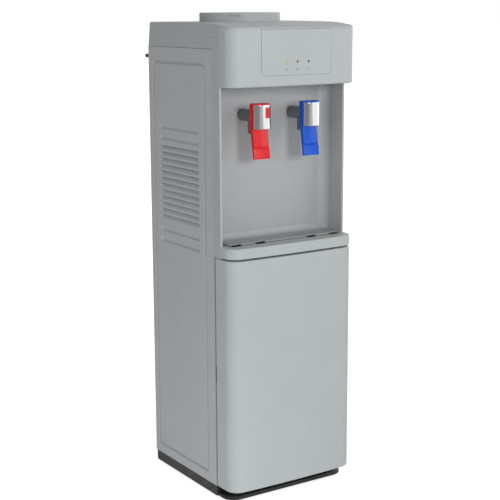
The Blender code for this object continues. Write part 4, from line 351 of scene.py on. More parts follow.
def pipe(points, radius, sides, bm=None):
    """A round tube along a path of points, closed at its ends."""
    bm = bm or bmesh.new()
    points = [Vector(p) for p in points]
    angles = [tau * k / sides for k in range(sides)]
    rings = []
    side = Vector((0.3, 0.2, 0.93))
    for i, p in enumerate(points):
        ahead = points[min(i + 1, len(points) - 1)] - points[max(i - 1, 0)]
        ahead.normalize()
        if i == 0:
            side = ahead.cross(side).normalized()
        side = (side - ahead * side.dot(ahead)).normalized()
        other = ahead.cross(side)
        rings.append([p + radius * (side * cos(a) + other * sin(a)) for a in angles])
    return loft(rings, bm=bm)


def to_object(name, bm):
    bmesh.ops.recalc_face_normals(bm, faces=bm.faces)
    mesh = bpy.data.meshes.new(name)
    bm.to_mesh(mesh)
    bm.free()
    obj = bpy.data.objects.new(name, mesh)
    scene.collection.objects.link(obj)
    return obj


def carve(obj, *steps):
    """Apply boolean steps of (operation, bmesh) to an object's mesh."""
    tools = []
    for operation, bm in steps:
        tool = to_object("tool", bm)
        tools.append(tool)
        mod = obj.modifiers.new("step", "BOOLEAN")
        mod.operation = operation
        mod.solver = "EXACT"
        mod.object = tool
    graph = bpy.context.evaluated_depsgraph_get()
    graph.update()
    result = bpy.data.meshes.new_from_object(obj.evaluated_get(graph))
    obj.modifiers.clear()
    old = obj.data
    obj.data = result
    for mesh in [old] + [tool.data for tool in tools]:
        bpy.data.meshes.remove(mesh)    # a tool goes with its mesh
    return obj


def cut(obj, *tools):
    return carve(obj, *[("DIFFERENCE", bm) for bm in tools])


def dress(obj, mat, nodes=(), body="cabinet", sharp=32.0):
    """Finish a piece: material, smooth shading, the body that it rides on and its node."""
    mesh = obj.data
    mesh.materials.clear()
    mesh.materials.append(mat)
    mesh.shade_smooth()
    mesh.set_sharp_from_angle(angle=radians(sharp))
    mod = obj.modifiers.new("even_normals", "WEIGHTED_NORMAL")
    mod.keep_sharp = True
    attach(obj, body)
    if nodes:
        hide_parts(*nodes)
    return obj


def piece(name, bm, mat, nodes=(), body="cabinet", sharp=32.0):
    return dress(to_object(name, bm), mat, nodes, body, sharp)


def second_material(obj, mat, chosen):
    """Give another material to the faces whose centre passes a test."""
    obj.data.materials.append(mat)
    for face in obj.data.polygons:
        if chosen(face.center):
            face.material_index = 1


# The front mouldings

TOP_LINE = tenths((-1840, 9821), (-1770, 9827), (-1600, 9841), (-1430, 9856), (-1330, 9869),
                  (-1200, 9883), (-1050, 9893), (-910, 9900), (-630, 9904), (0, 9908),
                  (600, 9911), (1520, 9907), (1700, 9906))
LAMP_X = 0.027  # the outer lamps' distance from the middle one


def top_z(y):
    """The height of the cover's top surface at y."""
    for (y0, z0), (y1, z1) in zip(TOP_LINE, TOP_LINE[1:]):
        if y <= y1:
            break
    return z0 + (z1 - z0) * (y - y0) / (y1 - y0)


def make_door():
    low, high, wall = 0.0273, 0.52, 0.0025
    hinge_x, hinge_y = 0.147, -0.121
    door = to_object("door_front", rounded_block(
        lambda i: bowed(DOOR_FACE, DOOR_REAR, i, i), low, high, 0.0024, 0.0024))
    inside = slab(bowed(DOOR_FACE, DOOR_REAR + 0.004, wall), low + wall, high - wall)
    holes = bmesh.new()
    for z in (low - 0.004, high - 0.006):
        rod(PIN_BORE, 0, 0.01, (hinge_x, hinge_y, z), steps=16, bm=holes)
    cut(door, inside, holes)
    dress(door, SILVER, ["cabinet_door"], "door")


def make_header():
    low = 0.8657
    rings = [flat_ring(bowed(HEADER_FACE, MOULDING_REAR, i, i), low + h)
             for i, h in quarter(0.0042, 6)]
    rings.append([(x, y, top_z(y) - 0.0043) for x, y in bowed(HEADER_FACE, MOULDING_REAR)])
    header = to_object("header_front", loft(rings))
    half, pocket_z, radius = 0.086, 0.887, 0.01
    outline = rounded([(-half, 1.0), (-half, pocket_z), (half, pocket_z), (half, 1.0)],
                      [0, radius, radius, 0])
    cut(header, front_slab(outline, -0.19, -0.178))
    dress(header, SILVER, ["header_cover"])
    make_indicator(half, pocket_z, radius)


def make_indicator(half, low, radius):
    """The indicator panel in the header's pocket, with its lamps and signs."""
    gap, soft, top = 0.0005, 0.001, 0.9777
    face = HEADER_FACE - 0.0007
    half, low, radius = half - gap, low + gap, radius - gap
    outline = rounded([(-half, top), (-half, low), (half, low), (half, top)],
                      [soft, radius, radius, soft])
    panel = to_object("indicator_face", front_slab(outline, -0.19, -0.1783))
    bowed_front = [(x, bow(x, face)) for x in [k * 0.01 - 0.1 for k in range(21)]]
    plan = bowed_front + [(0.1, -0.15), (-0.1, -0.15)]
    carve(panel, ("INTERSECT", slab(plan, 0.85, 1.0)))
    bevel = panel.modifiers.new("soft_edge", "BEVEL")
    bevel.width = 0.0006
    bevel.segments = 2
    bevel.limit_method = "ANGLE"
    bevel.angle_limit = radians(50)
    dress(panel, SILVER, ["indicator_panel"])

    lamp_z = 0.914
    lens = tenths((0, -7), (8, -6.5), (17, -4.5), (24, -1), (26, 3), (26, 100), (0, 100))
    rim = tenths((26, -1), (30, -3), (34, 1), (26, 4))
    for node, x, mat in (("lamp_power", -LAMP_X, GREEN_LENS), ("lamp_heating", 0.0, RED_LENS),
                         ("lamp_cooling", LAMP_X, DARK_LENS)):
        place = (x, bow(x, face), lamp_z)
        piece(node + "_lens", lathe(lens, place, "Y", 32), mat, [node])
        piece(node + "_rim", lathe(rim, place, "Y", 32), SILVER)
    make_icons(face)


def strip(bm, points, width, face):
    """A thin printed line on the indicator panel through (x, z) points."""
    for (x0, z0), (x1, z1) in zip(points, points[1:]):
        along = Vector((x1 - x0, z1 - z0)).normalized() * width / 2
        side = Vector((-along.y, along.x))
        corners = [Vector((x0, z0)) - along + side, Vector((x1, z1)) + along + side,
                   Vector((x1, z1)) + along - side, Vector((x0, z0)) - along - side]
        loft([[(c.x, bow(c.x, face) - depth, c.y) for c in corners]
              for depth in (-0.0002, 0.00006)], bm=bm)


def make_icons(face):
    """Plain generic signs below the lamps: supply, heating and cooling."""
    z, radius, line = 0.8985, 0.0023, 0.0006
    power, heat, cold = bmesh.new(), bmesh.new(), bmesh.new()
    ring = [(-LAMP_X + radius * sin(a), z + radius * cos(a))
            for a in [0.6 + k * (tau - 1.2) / 14 for k in range(15)]]
    strip(power, ring, line, face)
    strip(power, [(-LAMP_X, z), (-LAMP_X, z + 0.003)], line, face)
    for dx in (-0.0018, 0.0, 0.0018):
        wave = [(dx + 0.0005 * sin(t * 2.2), z - 0.0024 + 0.0048 * t / 5) for t in range(6)]
        strip(heat, wave, line, face)
    for k in range(3):
        a = pi * k / 3
        dx, dz = 0.0026 * sin(a), 0.0026 * cos(a)
        strip(cold, [(LAMP_X - dx, z - dz), (LAMP_X + dx, z + dz)], 0.0005, face)
    for sign, bm in (("power", power), ("heating", heat), ("cooling", cold)):
        piece("sign_" + sign, bm, PRINT)


# The cover

EDGE = 0.004
WELL = 0.0863  # radius of the well for the bottle seat
WELL_HOLE = 0.0718
WELL_FLOOR = 0.9774


def edge_share(y):
    """How much of the full edge radius the cover has at y: a sharper edge along the front."""
    return 0.5 + 0.5 * min(1.0, max(0.0, (y + 0.15) / 0.05))


def cover_outline(inset, rear):
    """The cover's plan, with many points along the sides for the curved top."""
    front = bowed(HEADER_FACE, SPLIT, inset)[1:-1]
    half, end = HALF - inset, rear - inset
    side = [front[-1][1] + 0.0001, -0.134, -0.1337, -0.125, -0.11, -0.0924, -0.0922, -0.07,
            -0.04, -0.01, 0.02, 0.05, 0.08, 0.11, 0.13, 0.14]
    right = [(half, y) for y in side]
    turn = rounded([(half, 0.1), (half, end), (0.0, end)], [0, 0.008, 0], 6)[1:-1]
    across = [(half * (1 - k / 8), end) for k in range(1, 16) if abs(1 - k / 8) < 0.9]
    left = [(-x, y) for x, y in reversed(turn)] + [(-x, y) for x, y in reversed(right)]
    return front + right + turn + across + left


def skirt_low(y):
    """The height of the cover's lower edge at y."""
    if y < SPLIT - 0.0002:
        return top_z(y) - 0.0041
    if y < -0.0923:
        return 0.962
    return 0.9402 if y < 0.1555 else 0.93


def make_cover():
    """The lid: skirts, rounded edge, crowned top with the sloping front, and the seat's well."""
    low_rear, high_rear = 0.1605, 0.1525
    outer_low = cover_outline(0.0, low_rear)
    outer = cover_outline(0.0, high_rear)
    inner = cover_outline(EDGE, high_rear)
    rings = [[(x, y, skirt_low(y)) for x, y in outer_low]]
    for inset, drop in reversed(quarter(EDGE, 5)):
        ring = []
        for (x, y), (u, v) in zip(outer, inner):
            soft = edge_share(y)
            share = soft * inset / EDGE
            ring.append((x + (u - x) * share, y + (v - y) * share, top_z(y) - drop * soft))
        rings.append(ring)
    edge = rings[-1]
    circle = []
    for x, y, z in edge:
        a = atan2(y - COLLAR_Y, x)
        circle.append((WELL * cos(a), COLLAR_Y + WELL * sin(a)))
    for t in (0.06, 0.2, 0.4, 0.6, 0.8, 0.93, 0.99):
        ring = []
        for (x, y, z), (cx, cy) in zip(edge, circle):
            px, py = x + (cx - x) * t, y + (cy - y) * t
            ring.append((px, py, top_z(py)))
        rings.append(ring)
    rings.append([(x, y, top_z(y) - 0.0005) for x, y in circle])
    rings.append(flat_ring(circle, WELL_FLOOR))
    share = WELL_HOLE / WELL
    hole = [(x * share, COLLAR_Y + (y - COLLAR_Y) * share) for x, y in circle]
    rings += [flat_ring(hole, WELL_FLOOR), flat_ring(hole, 0.97)]
    piece("cover_shell", loft(rings, caps=(False, False)), COVER, ["top_cover"])


# The recess, the shelf and the tray

def make_recess():
    """The recess moulding: rounded front rims, deep tap bay with round rear corners, strips."""
    rim, flare, inner, lining = 0.0013, 0.0012, 0.15, 0.0025
    low, bay_top, shoulder_low, top = 0.521, 0.871, 0.9403, 0.9617
    outer = rounded([(-HALF, PANEL_FRONT), (-HALF, SPLIT), (HALF, SPLIT), (HALF, PANEL_FRONT)],
                    [0, rim, rim, 0], 4)
    panel = to_object("recess_shell", slab(outer, low, top))
    tub = box(bmesh.new(), (-0.1525, 0.1525), (PANEL_FRONT - lining, RECESS_BACK + lining),
              (low, bay_top))
    shoulder = box(bmesh.new(), (-HALF, HALF), (PANEL_FRONT - lining, -0.0926), (shoulder_low, top))
    mouth = [(-inner - flare - 0.0001, SPLIT - 0.01), (-inner - flare, SPLIT)]
    mouth += [(-inner - flare * (1 - sin(a)), SPLIT + flare * (1 - cos(a)))
              for a in quarter_turn(4, 1)]
    back = rounded([(inner, SPLIT), (inner, RECESS_BACK), (-inner, RECESS_BACK), (-inner, SPLIT)],
                   [0, 0.02, 0.02, 0], 12)[1:-1]
    bay = slab(mouth + back[::-1] + [(-x, y) for x, y in reversed(mouth)], 0.5235, 0.8685)
    behind = box(bmesh.new(), (-0.1525, 0.1525), (SPLIT + 0.0028, -0.05), (bay_top, 0.98))
    carve(panel, ("UNION", tub), ("UNION", shoulder), ("DIFFERENCE", bay), ("DIFFERENCE", behind))
    dress(panel, RECESS, ["recess_panel"], sharp=25)


def make_shelf():
    """The ledge with its rounded front, the tray's pocket and the cove against the wall."""
    low, top, front = 0.5238, 0.5456, SPLIT - 0.003
    shelf = to_object("ledge", rounded_block(
        lambda i: bowed(DOOR_FACE, MOULDING_REAR, i, 0.0), low, top, 0.0015, 0.0024))
    half, rear, radius = 0.1497, -0.0703, 0.0145
    wall = rear - 0.001
    centre = (wall - radius, top + radius)
    cove = [(centre[0] + radius * cos(a), centre[1] - radius * sin(a)) for a in quarter_turn(10)]
    profile = [(front, low), (rear, low), (rear, centre[1])] + cove + [(front, top)]
    back = to_object("back", loft([[(x, y, z) for y, z in profile] for x in (-half, half)]))
    plan = rounded([(-half, -0.15), (half, -0.15), (half, rear), (-half, rear)],
                   [0, 0, 0.0197, 0.0197], 10)
    carve(back, ("INTERSECT", slab(plan, 0.5, 0.6)))
    joined = bmesh.new()
    joined.from_mesh(back.data)
    bpy.data.meshes.remove(back.data)
    pocket = box_outline((-0.138, 0.138), (-0.152, -0.088), 0.008)
    carve(shelf, ("UNION", joined), ("DIFFERENCE", slab(pocket, 0.5263, 0.57)))
    dress(shelf, SILVER, ["tray_shelf"], sharp=28)
    # The ledge's back, inside the recess, takes the slightly darker recess grey: painted shade for
    # the cove behind the tray.
    second_material(shelf, RECESS, lambda centre: centre.y > SPLIT + 0.001)


TRAY_SPAN = (-0.1374, 0.1374)
TRAY_REAR = -0.0886


def notches(rear, low, high):
    """Cutters for the four finger notches along the tray's front."""
    holes = bmesh.new()
    for x in (-0.123, -0.064, 0.064, 0.123):
        slab(box_outline((x - 0.012, x + 0.012), (-0.1484, rear), 0.0022, 5), low, high, holes)
    return holes


def make_tray():
    """The basin, with a flat front rim that has the notches."""
    low, top, wall, soft = 0.5266, 0.5464, 0.0015, 0.0003

    def outline(i):
        return box_outline(TRAY_SPAN, (-0.1514, TRAY_REAR), 0.0074 - i * 0.9, inset=i)

    rings = [flat_ring(outline(i), low + h) for i, h in quarter(0.001, 3)]
    rings += [flat_ring(outline(i), z) for i, z in (
        (0.0, top - 0.0005), (soft, top), (wall - soft, top), (wall, top - 0.0005))]
    rings += [flat_ring(outline(wall + i), low + wall + h) for i, h in reversed(quarter(0.003, 4))]
    tray = to_object("tray_basin", loft(rings))
    rim = rounded([(-0.1368, -0.139), (-0.1368, -0.1508), (0.1368, -0.1508), (0.1368, -0.139)],
                  [0, 0.0068, 0.0068, 0])
    carve(tray, ("UNION", slab(rim, top - 0.0015, top - 0.0001)),
          ("DIFFERENCE", notches(-0.13, top - 0.004, top + 0.01)))
    dress(tray, PLATE, ["drip_tray"], "drip_tray")


def make_plate():
    """The drip plate, with a shallow dish in its top."""
    low, high = 0.5467, 0.5493
    plate = to_object("tray_plate", rounded_block(
        lambda i: box_outline(TRAY_SPAN, (-0.1404, TRAY_REAR), 0.003 - i, 4, i),
        low, high, 0.0005, 0.0011))
    dish = [flat_ring(box_outline((-0.128, 0.128), (-0.129, -0.096), 0.006, 5, i), high - i)
            for i in (0.0006, -0.0003)]
    cut(plate, notches(-0.1334, low - 0.01, high + 0.01), loft(dish))
    dress(plate, PLATE, ["drip_plate"], "drip_plate")


# The side sheets and the plinth

LOUVRES = [0.6523 + (k - 5.5) * 0.01365 for k in range(12)]
LOUVRE_SPAN = (-0.051, 0.113)
BLIND = (0.7728, 0.7495, 0.5509, 0.5276)
LOUVRE_PROFILE = tenths((52, 72), (42, 66), (28, 53), (10, 40), (-10, 28), (-26, 17), (-37, 8),
                        (-44, 0))
BLIND_PROFILE = tenths((68, 0), (50, 3), (30, 9), (5, 18), (-20, 26), (-42, 31), (-52, 29),
                       (-60, 16), (-66, 4), (-72, 0))
PRESSINGS = ((LOUVRES, 0.0041, LOUVRE_PROFILE), (BLIND, 0.0066, BLIND_PROFILE))
GROOVE = tenths((-36, 0), (-32, 2), (-28, 8), (-23, 24), (-12, 30), (12, 30), (23, 24), (28, 8),
                (32, 2), (36, 0))


def pressed(side, level, profile, bm):
    """A strip pressed into a side sheet: (height, depth) points, flush at both ends."""
    a, b = LOUVRE_SPAN
    end_length, skin, thickness, steps = 0.007, 0.0002, 0.0009, 28
    sections = []
    for k in range(steps + 1):
        u = a + (b - a) * k / steps
        end = min(1.0, max(0.0, min(u - a, b - u) / end_length))
        share = 0.5 - 0.5 * cos(pi * end)
        line = [(skin + depth * share, level + height) for height, depth in profile]
        sections.append([(side * (HALF - d), u, w) for d, w in line]
                        + [(side * (HALF - d - thickness), u, w) for d, w in reversed(line)])
    loft(sections, bm=bm)


def pressings(side):
    """Cutters through a side sheet at its pressed strips, and the strips themselves."""
    windows, strips = bmesh.new(), bmesh.new()
    for levels, half, profile in PRESSINGS:
        for z in levels:
            outline = box_outline(LOUVRE_SPAN, (z - half, z + half), 0.0016, 3)
            loft([[(side * x, u, w) for u, w in outline]
                  for x in (HALF - 0.006, HALF + 0.004)], bm=windows)
            pressed(side, z, profile, strips)
    return windows, strips


def add_mesh(obj, bm):
    """Add a bmesh's faces to an object's mesh as they are."""
    extra = to_object("extra", bm).data
    merged = bmesh.new()
    for mesh in (obj.data, extra):
        merged.from_mesh(mesh)
    merged.to_mesh(obj.data)
    merged.free()
    bpy.data.meshes.remove(extra)


def make_side(side, node):
    """A side sheet: rounded folds, the pressed border line, stamped louvres and blind ribs."""
    y0, y1, z0, z1 = PANEL_FRONT + 0.0003, PANEL_REAR, 0.0263, 0.9397
    groove = ((y0 + 0.0305, y1 - 0.0198), (z0 + 0.023, z1 - 0.032))
    groove_radius, fold = 0.007, 0.014

    def ring(inset, depth, radius, area):
        return [(side * (HALF - depth), y, z) for y, z in box_outline(*area, radius, 6, inset)]

    rings = [ring(*edge, ((y0, y1), (z0, z1))) for edge in (
        (0.0, 0.004, 0.0004), (0.0, 0.0008, 0.0004), (0.0003, 0.0003, 0.0005),
        (0.0009, 0.0, 0.0006))]
    rings += [ring(inset, depth, groove_radius - inset, groove) for inset, depth in GROOVE]
    windows, strips = pressings(side)
    sheet = cut(to_object(node + "_sheet", loft(rings)), windows)
    add_mesh(sheet, strips)
    x = sorted((side * (HALF - 0.0012), side * (HALF - fold)))
    add_mesh(sheet, box(bmesh.new(), x, (y1 - 0.0015, y1 - 0.0001), (z0, z1)))
    dress(sheet, SHEET, [node], sharp=25)


def make_plinth():
    """The plinth: a low base, its wall, the front lip and the compressor's four posts."""
    half, step = HALF - 0.0014, 0.0099
    across, along = (-half, half), (-0.107, PANEL_REAR - 0.0014)

    def lip(i):
        x, y = 0.15 - i, DOOR_FACE + 0.0242 + i
        return rounded([(-x, -0.106), (-x, y), (x, y), (x, -0.106)],
                       [0, CORNER - i, CORNER - i, 0], 10)

    bm = rounded_block(lambda i: box_outline(across, along, 0.002 - i * 0.5, 4, i),
                       0.003, 0.01, 0.0012, 0.0001)
    rings = []
    for inset, radius, levels in ((0.0, 0.002, (step, 0.026)), (0.003, 0.001, (0.026, step))):
        rings += [flat_ring(box_outline(across, along, radius, 4, inset), z) for z in levels]
    loft(rings, caps=(False, False), bm=bm)
    rounded_block(lip, 0.003, 0.011, 0.0012, 0.0015, bm)
    post = tenths((0, 160), (65, 160), (70, 155), (70, 90), (0, 90))
    for dx in (-0.071, 0.071):
        for dy in (-0.041, 0.041):
            lathe(post, (0.01 + dx, 0.0708 + dy, 0), steps=24, bm=bm)
    plinth = piece("plinth_shell", bm, DARK, ["plinth"])
    # The lip's front faces get the near-black material, painted shade under the door.
    second_material(plinth, SHADED_LIP, lambda centre: centre.y < -0.1065)


# The bottle seat

def spread_round(count, first, outline, radii, z):
    """Radial cutters of an outline, evenly spread round the seat's axis."""
    holes = bmesh.new()
    for k in range(count):
        turn = Matrix.Rotation(first + tau * k / count, 3, "Z")
        loft([[turn @ Vector((r, u, v)) + Vector((0, COLLAR_Y, z)) for u, v in outline]
              for r in radii], bm=holes)
    return holes


def make_seat():
    """The bottle seat: collar with a soft rim, funnel and neck, and the spike inside it."""
    top, rest, rim = 1.0095, 0.9777, 0.0024
    inner, outer, neck = 0.0761, 0.0856, 0.9177
    arc = [(outer - rim + rim * sin(a), top - rim + rim * cos(a)) for a in quarter_turn(6)]
    inner_arc = [(inner + rim - rim * sin(a), top - rim + rim * cos(a))
                 for a in reversed(quarter_turn(6))]
    profile = inner_arc + arc + [
        (outer, rest + 0.0008), (0.085, rest), (0.071, rest), (0.0702, rest - 0.0025),
        (0.0245, rest - 0.03), (0.0245, neck), (0.022, neck), (0.022, 0.9505),
        (0.024, 0.9525), (0.067, 0.979), (0.0705, 0.9815), (0.0745, 0.9845), (inner, 0.9875)]
    seat = to_object("seat_collar", lathe(profile, (0, COLLAR_Y, 0), steps=128))
    slot = box_outline((-0.0115, 0.0115), (-0.0021, 0.0021), 0.0019, 5)
    cut(seat, spread_round(2, radians(-130), slot, (0.0815, 0.09), 1.0028))
    dress(seat, COVER, ["bottle_seat"], "bottle_seat")

    tip = 0.9975
    profile = [(0.0035, tip), (0.006, tip), (0.0076, tip - 0.0012), (0.0108, tip - 0.0105),
               (0.011, tip - 0.013), (0.011, 0.9245), (0.013, 0.9222), (0.0217, 0.9211),
               (0.0217, neck), (0.007, neck), (0.007, tip - 0.011), (0.004, tip - 0.004)]
    spike = to_object("seat_spike", lathe(profile, (0, COLLAR_Y, 0), steps=48))
    port = box_outline((-0.0022, 0.0022), (-0.007, 0.007), 0.0021, 5)
    cut(spike, spread_round(3, 0.0, port, (0.0, 0.016), 0.968))
    dress(spike, WHITE, ["guard_spike"], "bottle_seat")


# The taps

HEAD_LOW, HEAD_HIGH, HEAD_TOP = 0.78, 0.828, 0.831
HEAD_HALF = 0.01935
PIVOT_Y, PIVOT_Z = CAP_FACE + 0.021, 0.812


def face_outline(radius, half, rear, x, steps=16):
    """The plan of a lever's head: a round front and straight cheeks."""
    centre = CAP_FACE + 0.03
    reach = asin(half / radius)
    points = [(x - half, rear)]
    for k in range(steps + 1):
        a = reach * (2 * k / steps - 1)
        points.append((x + radius * sin(a), centre - radius * cos(a)))
    return points + [(x + half, rear)]


def paddle(bm, x):
    """The lever's blade: two facets above, a scooped pad below."""
    low, high, pad_top = 0.719, 0.785, 0.74
    wide, deep = 0.01925, 0.004
    columns, rows = 24, 34
    rings = []
    for r in range(rows + 1):
        z = low + (high - low) * r / rows
        base = -0.144 + (z - low) * (0.0095 / 0.061)
        fade = min(1.0, max(0.0, (z - pad_top) / 0.0035))
        edge = 0.0012 * max(0.0, 1 - (z - low) / 0.0015)
        line = []
        for c in range(columns + 1):
            s = 2 * c / columns - 1
            ridge = -0.0058 + (0.0014 * max(0.0, -s) + 0.0042 * max(0.0, s))
            scoop = -0.0026 + 0.0019 * (1 - s * s)
            y = base + ridge * fade + scoop * (1 - fade)
            y += 0.0008 * max(0.0, (abs(s) - 0.93) / 0.07) ** 2 + edge * 0.6
            line.append((x + wide * s, y, z))
        rings.append(line + [(px, base + deep, z) for px, _, z in reversed(line)])
    loft(rings, bm=bm)


def lock_window(x, rear):
    """The cutter for the child lock's window in the hot lever."""
    return box(bmesh.new(), (x + 0.0027, x + 0.0158), (CAP_FACE - 0.01, rear), (0.8017, 0.8233))


def make_lever(name, x, mat):
    """A lever's hood with its blade, and the chrome cap on its face."""
    lever = name + "_lever"
    rear, radius = CAP_FACE + 0.0255, 0.03 - 0.0023
    head = to_object(lever + "_hood", rounded_block(
        lambda i: face_outline(radius - i, HEAD_HALF - i, rear - i * 0.5, x),
        HEAD_LOW, HEAD_TOP, 0.0006, 0.0016))
    inside = box(bmesh.new(), (x - 0.01685, x + 0.01685), (CAP_FACE + 0.0095, rear + 0.004),
                 (HEAD_LOW - 0.004, HEAD_TOP - 0.0025))
    blade = bmesh.new()
    paddle(blade, x)
    pin = rod(PIN_BORE, 0, 0.05, (x - 0.025, PIVOT_Y, PIVOT_Z), "X")
    steps = [("DIFFERENCE", inside), ("UNION", blade), ("DIFFERENCE", pin)]
    if name == "hot":
        steps.append(("DIFFERENCE", lock_window(x, CAP_FACE + 0.0125)))
    carve(head, *steps)
    dress(head, mat, [lever], lever, 24)

    edge = quarter(0.0006)
    levels = [(i, HEAD_LOW + h) for i, h in edge]
    levels += [(0.0, z) for z in (0.786, 0.793, 0.8, 0.825)]
    levels += [(i, HEAD_HIGH - h) for i, h in reversed(edge)]
    cap = to_object(name + "_cap_shell", loft([
        flat_ring(face_outline(0.03 - i * 0.6, HEAD_HALF - i * 0.3, CAP_FACE + 0.02, x, 32), z)
        for i, z in levels]))
    core = slab(face_outline(0.028, HEAD_HALF + 0.002, CAP_FACE + 0.03, x, 32),
                HEAD_LOW - 0.01, HEAD_HIGH + 0.01)
    cut(cap, core, *([lock_window(x, rear)] if name == "hot" else []))
    dress(cap, CHROME, [lever + "_cap"], lever, 24)


def make_tap_body(name, x):
    """The barrel with its spout and pivot pin, and the flange against the wall."""
    node, front = name + "_tap_body", CAP_FACE + 0.018
    barrel = [(0, front), (0.0105, front), (0.0118, front + 0.0004), (0.0125, front + 0.0016)]
    barrel += tenths((125, -731), (90, -731), (90, -500), (50, -500), (50, -950), (0, -950))
    spout = tenths((0, 8100), (85, 8100), (85, 7790), (78, 7700), (72, 7682), (48, 7680),
                   (44, 7690), (44, 7950), (0, 7950))
    tap = lathe(barrel, (x, 0, TAP_Z), "Y")
    lathe(spout, (x, CAP_FACE + 0.047, 0), steps=40, bm=tap)
    rod(0.002, -0.019, 0.019, (x, PIVOT_Y, PIVOT_Z), "X", bm=tap)
    piece(name + "_tap_barrel", tap, NECK, [node])
    ring = tenths((126, -716), (135, -712), (160, -710), (182, -708), (190, -703), (126, -703))
    piece(name + "_tap_flange", lathe(ring, (x, 0, TAP_Z), "Y"), RECESS, [node])


def make_lock(x):
    """The child lock: a slightly domed button with grip lines, and its flange."""
    low, high, rear = 0.802, 0.823, CAP_FACE + 0.0108
    outline = face_outline(0.0306, HEAD_HALF, rear + 0.003, x, 48)
    button = to_object("lock_button", box(
        bmesh.new(), (x + 0.003, x + 0.0155), (CAP_FACE - 0.01, rear), (low, high)))
    lines = bmesh.new()
    for k in range(3):
        z = 0.8085 + k * 0.004
        box(lines, (x + 0.005, x + 0.0138), (CAP_FACE - 0.01, CAP_FACE + 0.0008),
            (z - 0.0004, z + 0.0004))
    carve(button, ("INTERSECT", slab(outline, low - 0.01, high + 0.01)), ("DIFFERENCE", lines))
    flange = bmesh.new()
    flange.from_mesh(button.data)
    box(flange, (x + 0.002, x + 0.0165), (CAP_FACE + 0.0098, rear), (low - 0.001, high + 0.001))
    flange.to_mesh(button.data)
    flange.free()
    dress(button, RED, ["child_lock"], "child_lock", 24)


# The rear

def serpentine():
    """The condenser tube's path: from the compressor's space up through its ten runs."""
    half, radius, pitch, low, runs = 0.115, 0.03, 0.06, 0.24, 10
    tail, y = -0.083, 0.1776
    start = [(tail, 0.154, 0.1973), (tail, 0.165, 0.1973), (tail, 0.174, 0.201),
             (tail, y, 0.211), (tail, y, 0.226), (tail + 0.004, y, 0.236), (tail + 0.014, y, low)]
    path = soft_path(start, 4)
    for run in range(runs - 1):
        side = 1 if run % 2 == 0 else -1
        z = low + run * pitch
        for k in range(13):
            a = pi * k / 12
            path.append(Vector((side * (half - radius + radius * sin(a)), y,
                                z + radius - radius * cos(a))))
    path.append(Vector((half - radius, y, low + (runs - 1) * pitch)))
    return path


def make_condenser():
    piece("condenser_coil", pipe(serpentine(), 0.0024, 14), BLACK,
          ["condenser_tube"], sharp=60)
    wires = bmesh.new()
    low, high, wire_y, bar = 0.2105, 0.8095, 0.1744, 0.0012
    for k in range(39):
        x = -0.114 + k * 0.006
        pipe([(x, wire_y, low), (x, wire_y, high)], 0.0007, 6, bm=wires)
    for z in (low + bar, high - bar):
        box(wires, (-0.115, 0.115), (0.1733, 0.1749), (z - bar, z + bar))
    for x in ((-0.1144, -0.105), (0.105, 0.1144)):
        for z in (low + 0.005, high - 0.005):
            box(wires, x, (0.1546, 0.1738), (z - 0.004, z + 0.004), 0.001)
    piece("condenser_wires", wires, BLACK, ["condenser_grid"])


def make_compressor():
    """The compressor: domed shell with a weld seam, mounting plate and two pipe stubs."""
    x, y, low, tall, r = 0.01, 0.0708, 0.0178, 0.15, 0.064
    mid = low + tall / 2
    profile = [(0, low + tall)]
    profile += [(r * sin(a), low + tall * (0.56 + 0.44 * cos(a))) for a in quarter_turn(8, 1)]
    profile += [(r, mid + 0.002), (r + 0.0016, mid + 0.0014), (r + 0.0018, mid),
                (r + 0.0016, mid - 0.0014), (r, mid - 0.002)]
    profile += [(r * sin(a), low + tall * (0.28 - 0.28 * cos(a)))
                for a in reversed(quarter_turn(8))]
    bm = lathe(profile, (x, y, 0), steps=64)
    box(bm, (-0.075, 0.095), (0.0158, 0.1258), (0.0163, 0.0193), 0.001)
    stub = tenths((0, 770), (30, 770), (35, 765), (35, 500), (0, 500))
    for profile in (stub, [(radius, -h) for radius, h in reversed(stub)]):
        lathe(profile, (x, y, low + 0.12), "X", 20, bm=bm)
    piece("compressor_shell", bm, BLACK, ["compressor"], sharp=40)


def make_screws():
    """Screw heads on the back sheet, with crossed slots."""
    screws, across, upright = bmesh.new(), bmesh.new(), bmesh.new()
    head = tenths((0, 21), (18, 19), (32, 10), (36, 1), (0, 1))
    depth = (PANEL_REAR + 0.0012, PANEL_REAR + 0.003)
    long, short = 0.0018, 0.0003
    for x in (-0.1475, 0.1475):
        for z in (0.055, 0.25, 0.45, 0.65, 0.85):
            lathe(head, (x, PANEL_REAR, z), "Y", 20, bm=screws)
            box(across, (x - long, x + long), depth, (z - short, z + short))
            box(upright, (x - short, x + short), depth, (z - long, z + long))
    dress(cut(to_object("rear_screws", screws), across, upright), STEEL)


def make_fittings():
    """Round fittings in the back sheet: the cord gland, and the drain port with its plug."""
    gland_x, port_x, z = 0.12, -0.12, 0.06
    gland = tenths((35, 175), (52, 175), (60, 165), (66, 150), (58, 140), (68, 128), (74, 115),
                   (80, 105), (80, 95), (55, 95), (55, 0), (35, 0))
    piece("gland_ring", lathe(gland, (gland_x, 0.1448, z), "Y", 36), DARK,
          ["cord_gland"])
    port = tenths((40, 255), (66, 255), (70, 250), (66, 238), (70, 226), (66, 214), (70, 202),
                  (70, 160), (88, 160), (90, 155), (90, 135), (70, 135), (70, 0), (40, 0))
    piece("drain_spout", lathe(port, (port_x, 0.1408, z), "Y", 36), WHITE,
          ["drain_port"])
    ribs, rib_share = 48, 0.035
    rings = []
    for y, r in tenths((1666, 86), (1670, 90), (1722, 90), (1738, 84), (1743, 72)):
        ring = []
        for k in range(ribs):
            a, reach = tau * k / ribs, r * (1 - rib_share * (k % 2))
            ring.append((port_x + reach * cos(a), y, z + reach * sin(a)))
        rings.append(ring)
    plug = loft(rings)
    rod(0.0037, -0.008, 0.0003, (port_x, 0.1663, z), "Y", bm=plug)
    piece("drain_cap", plug, RUBBER, ["drain_plug"], "drain_plug")


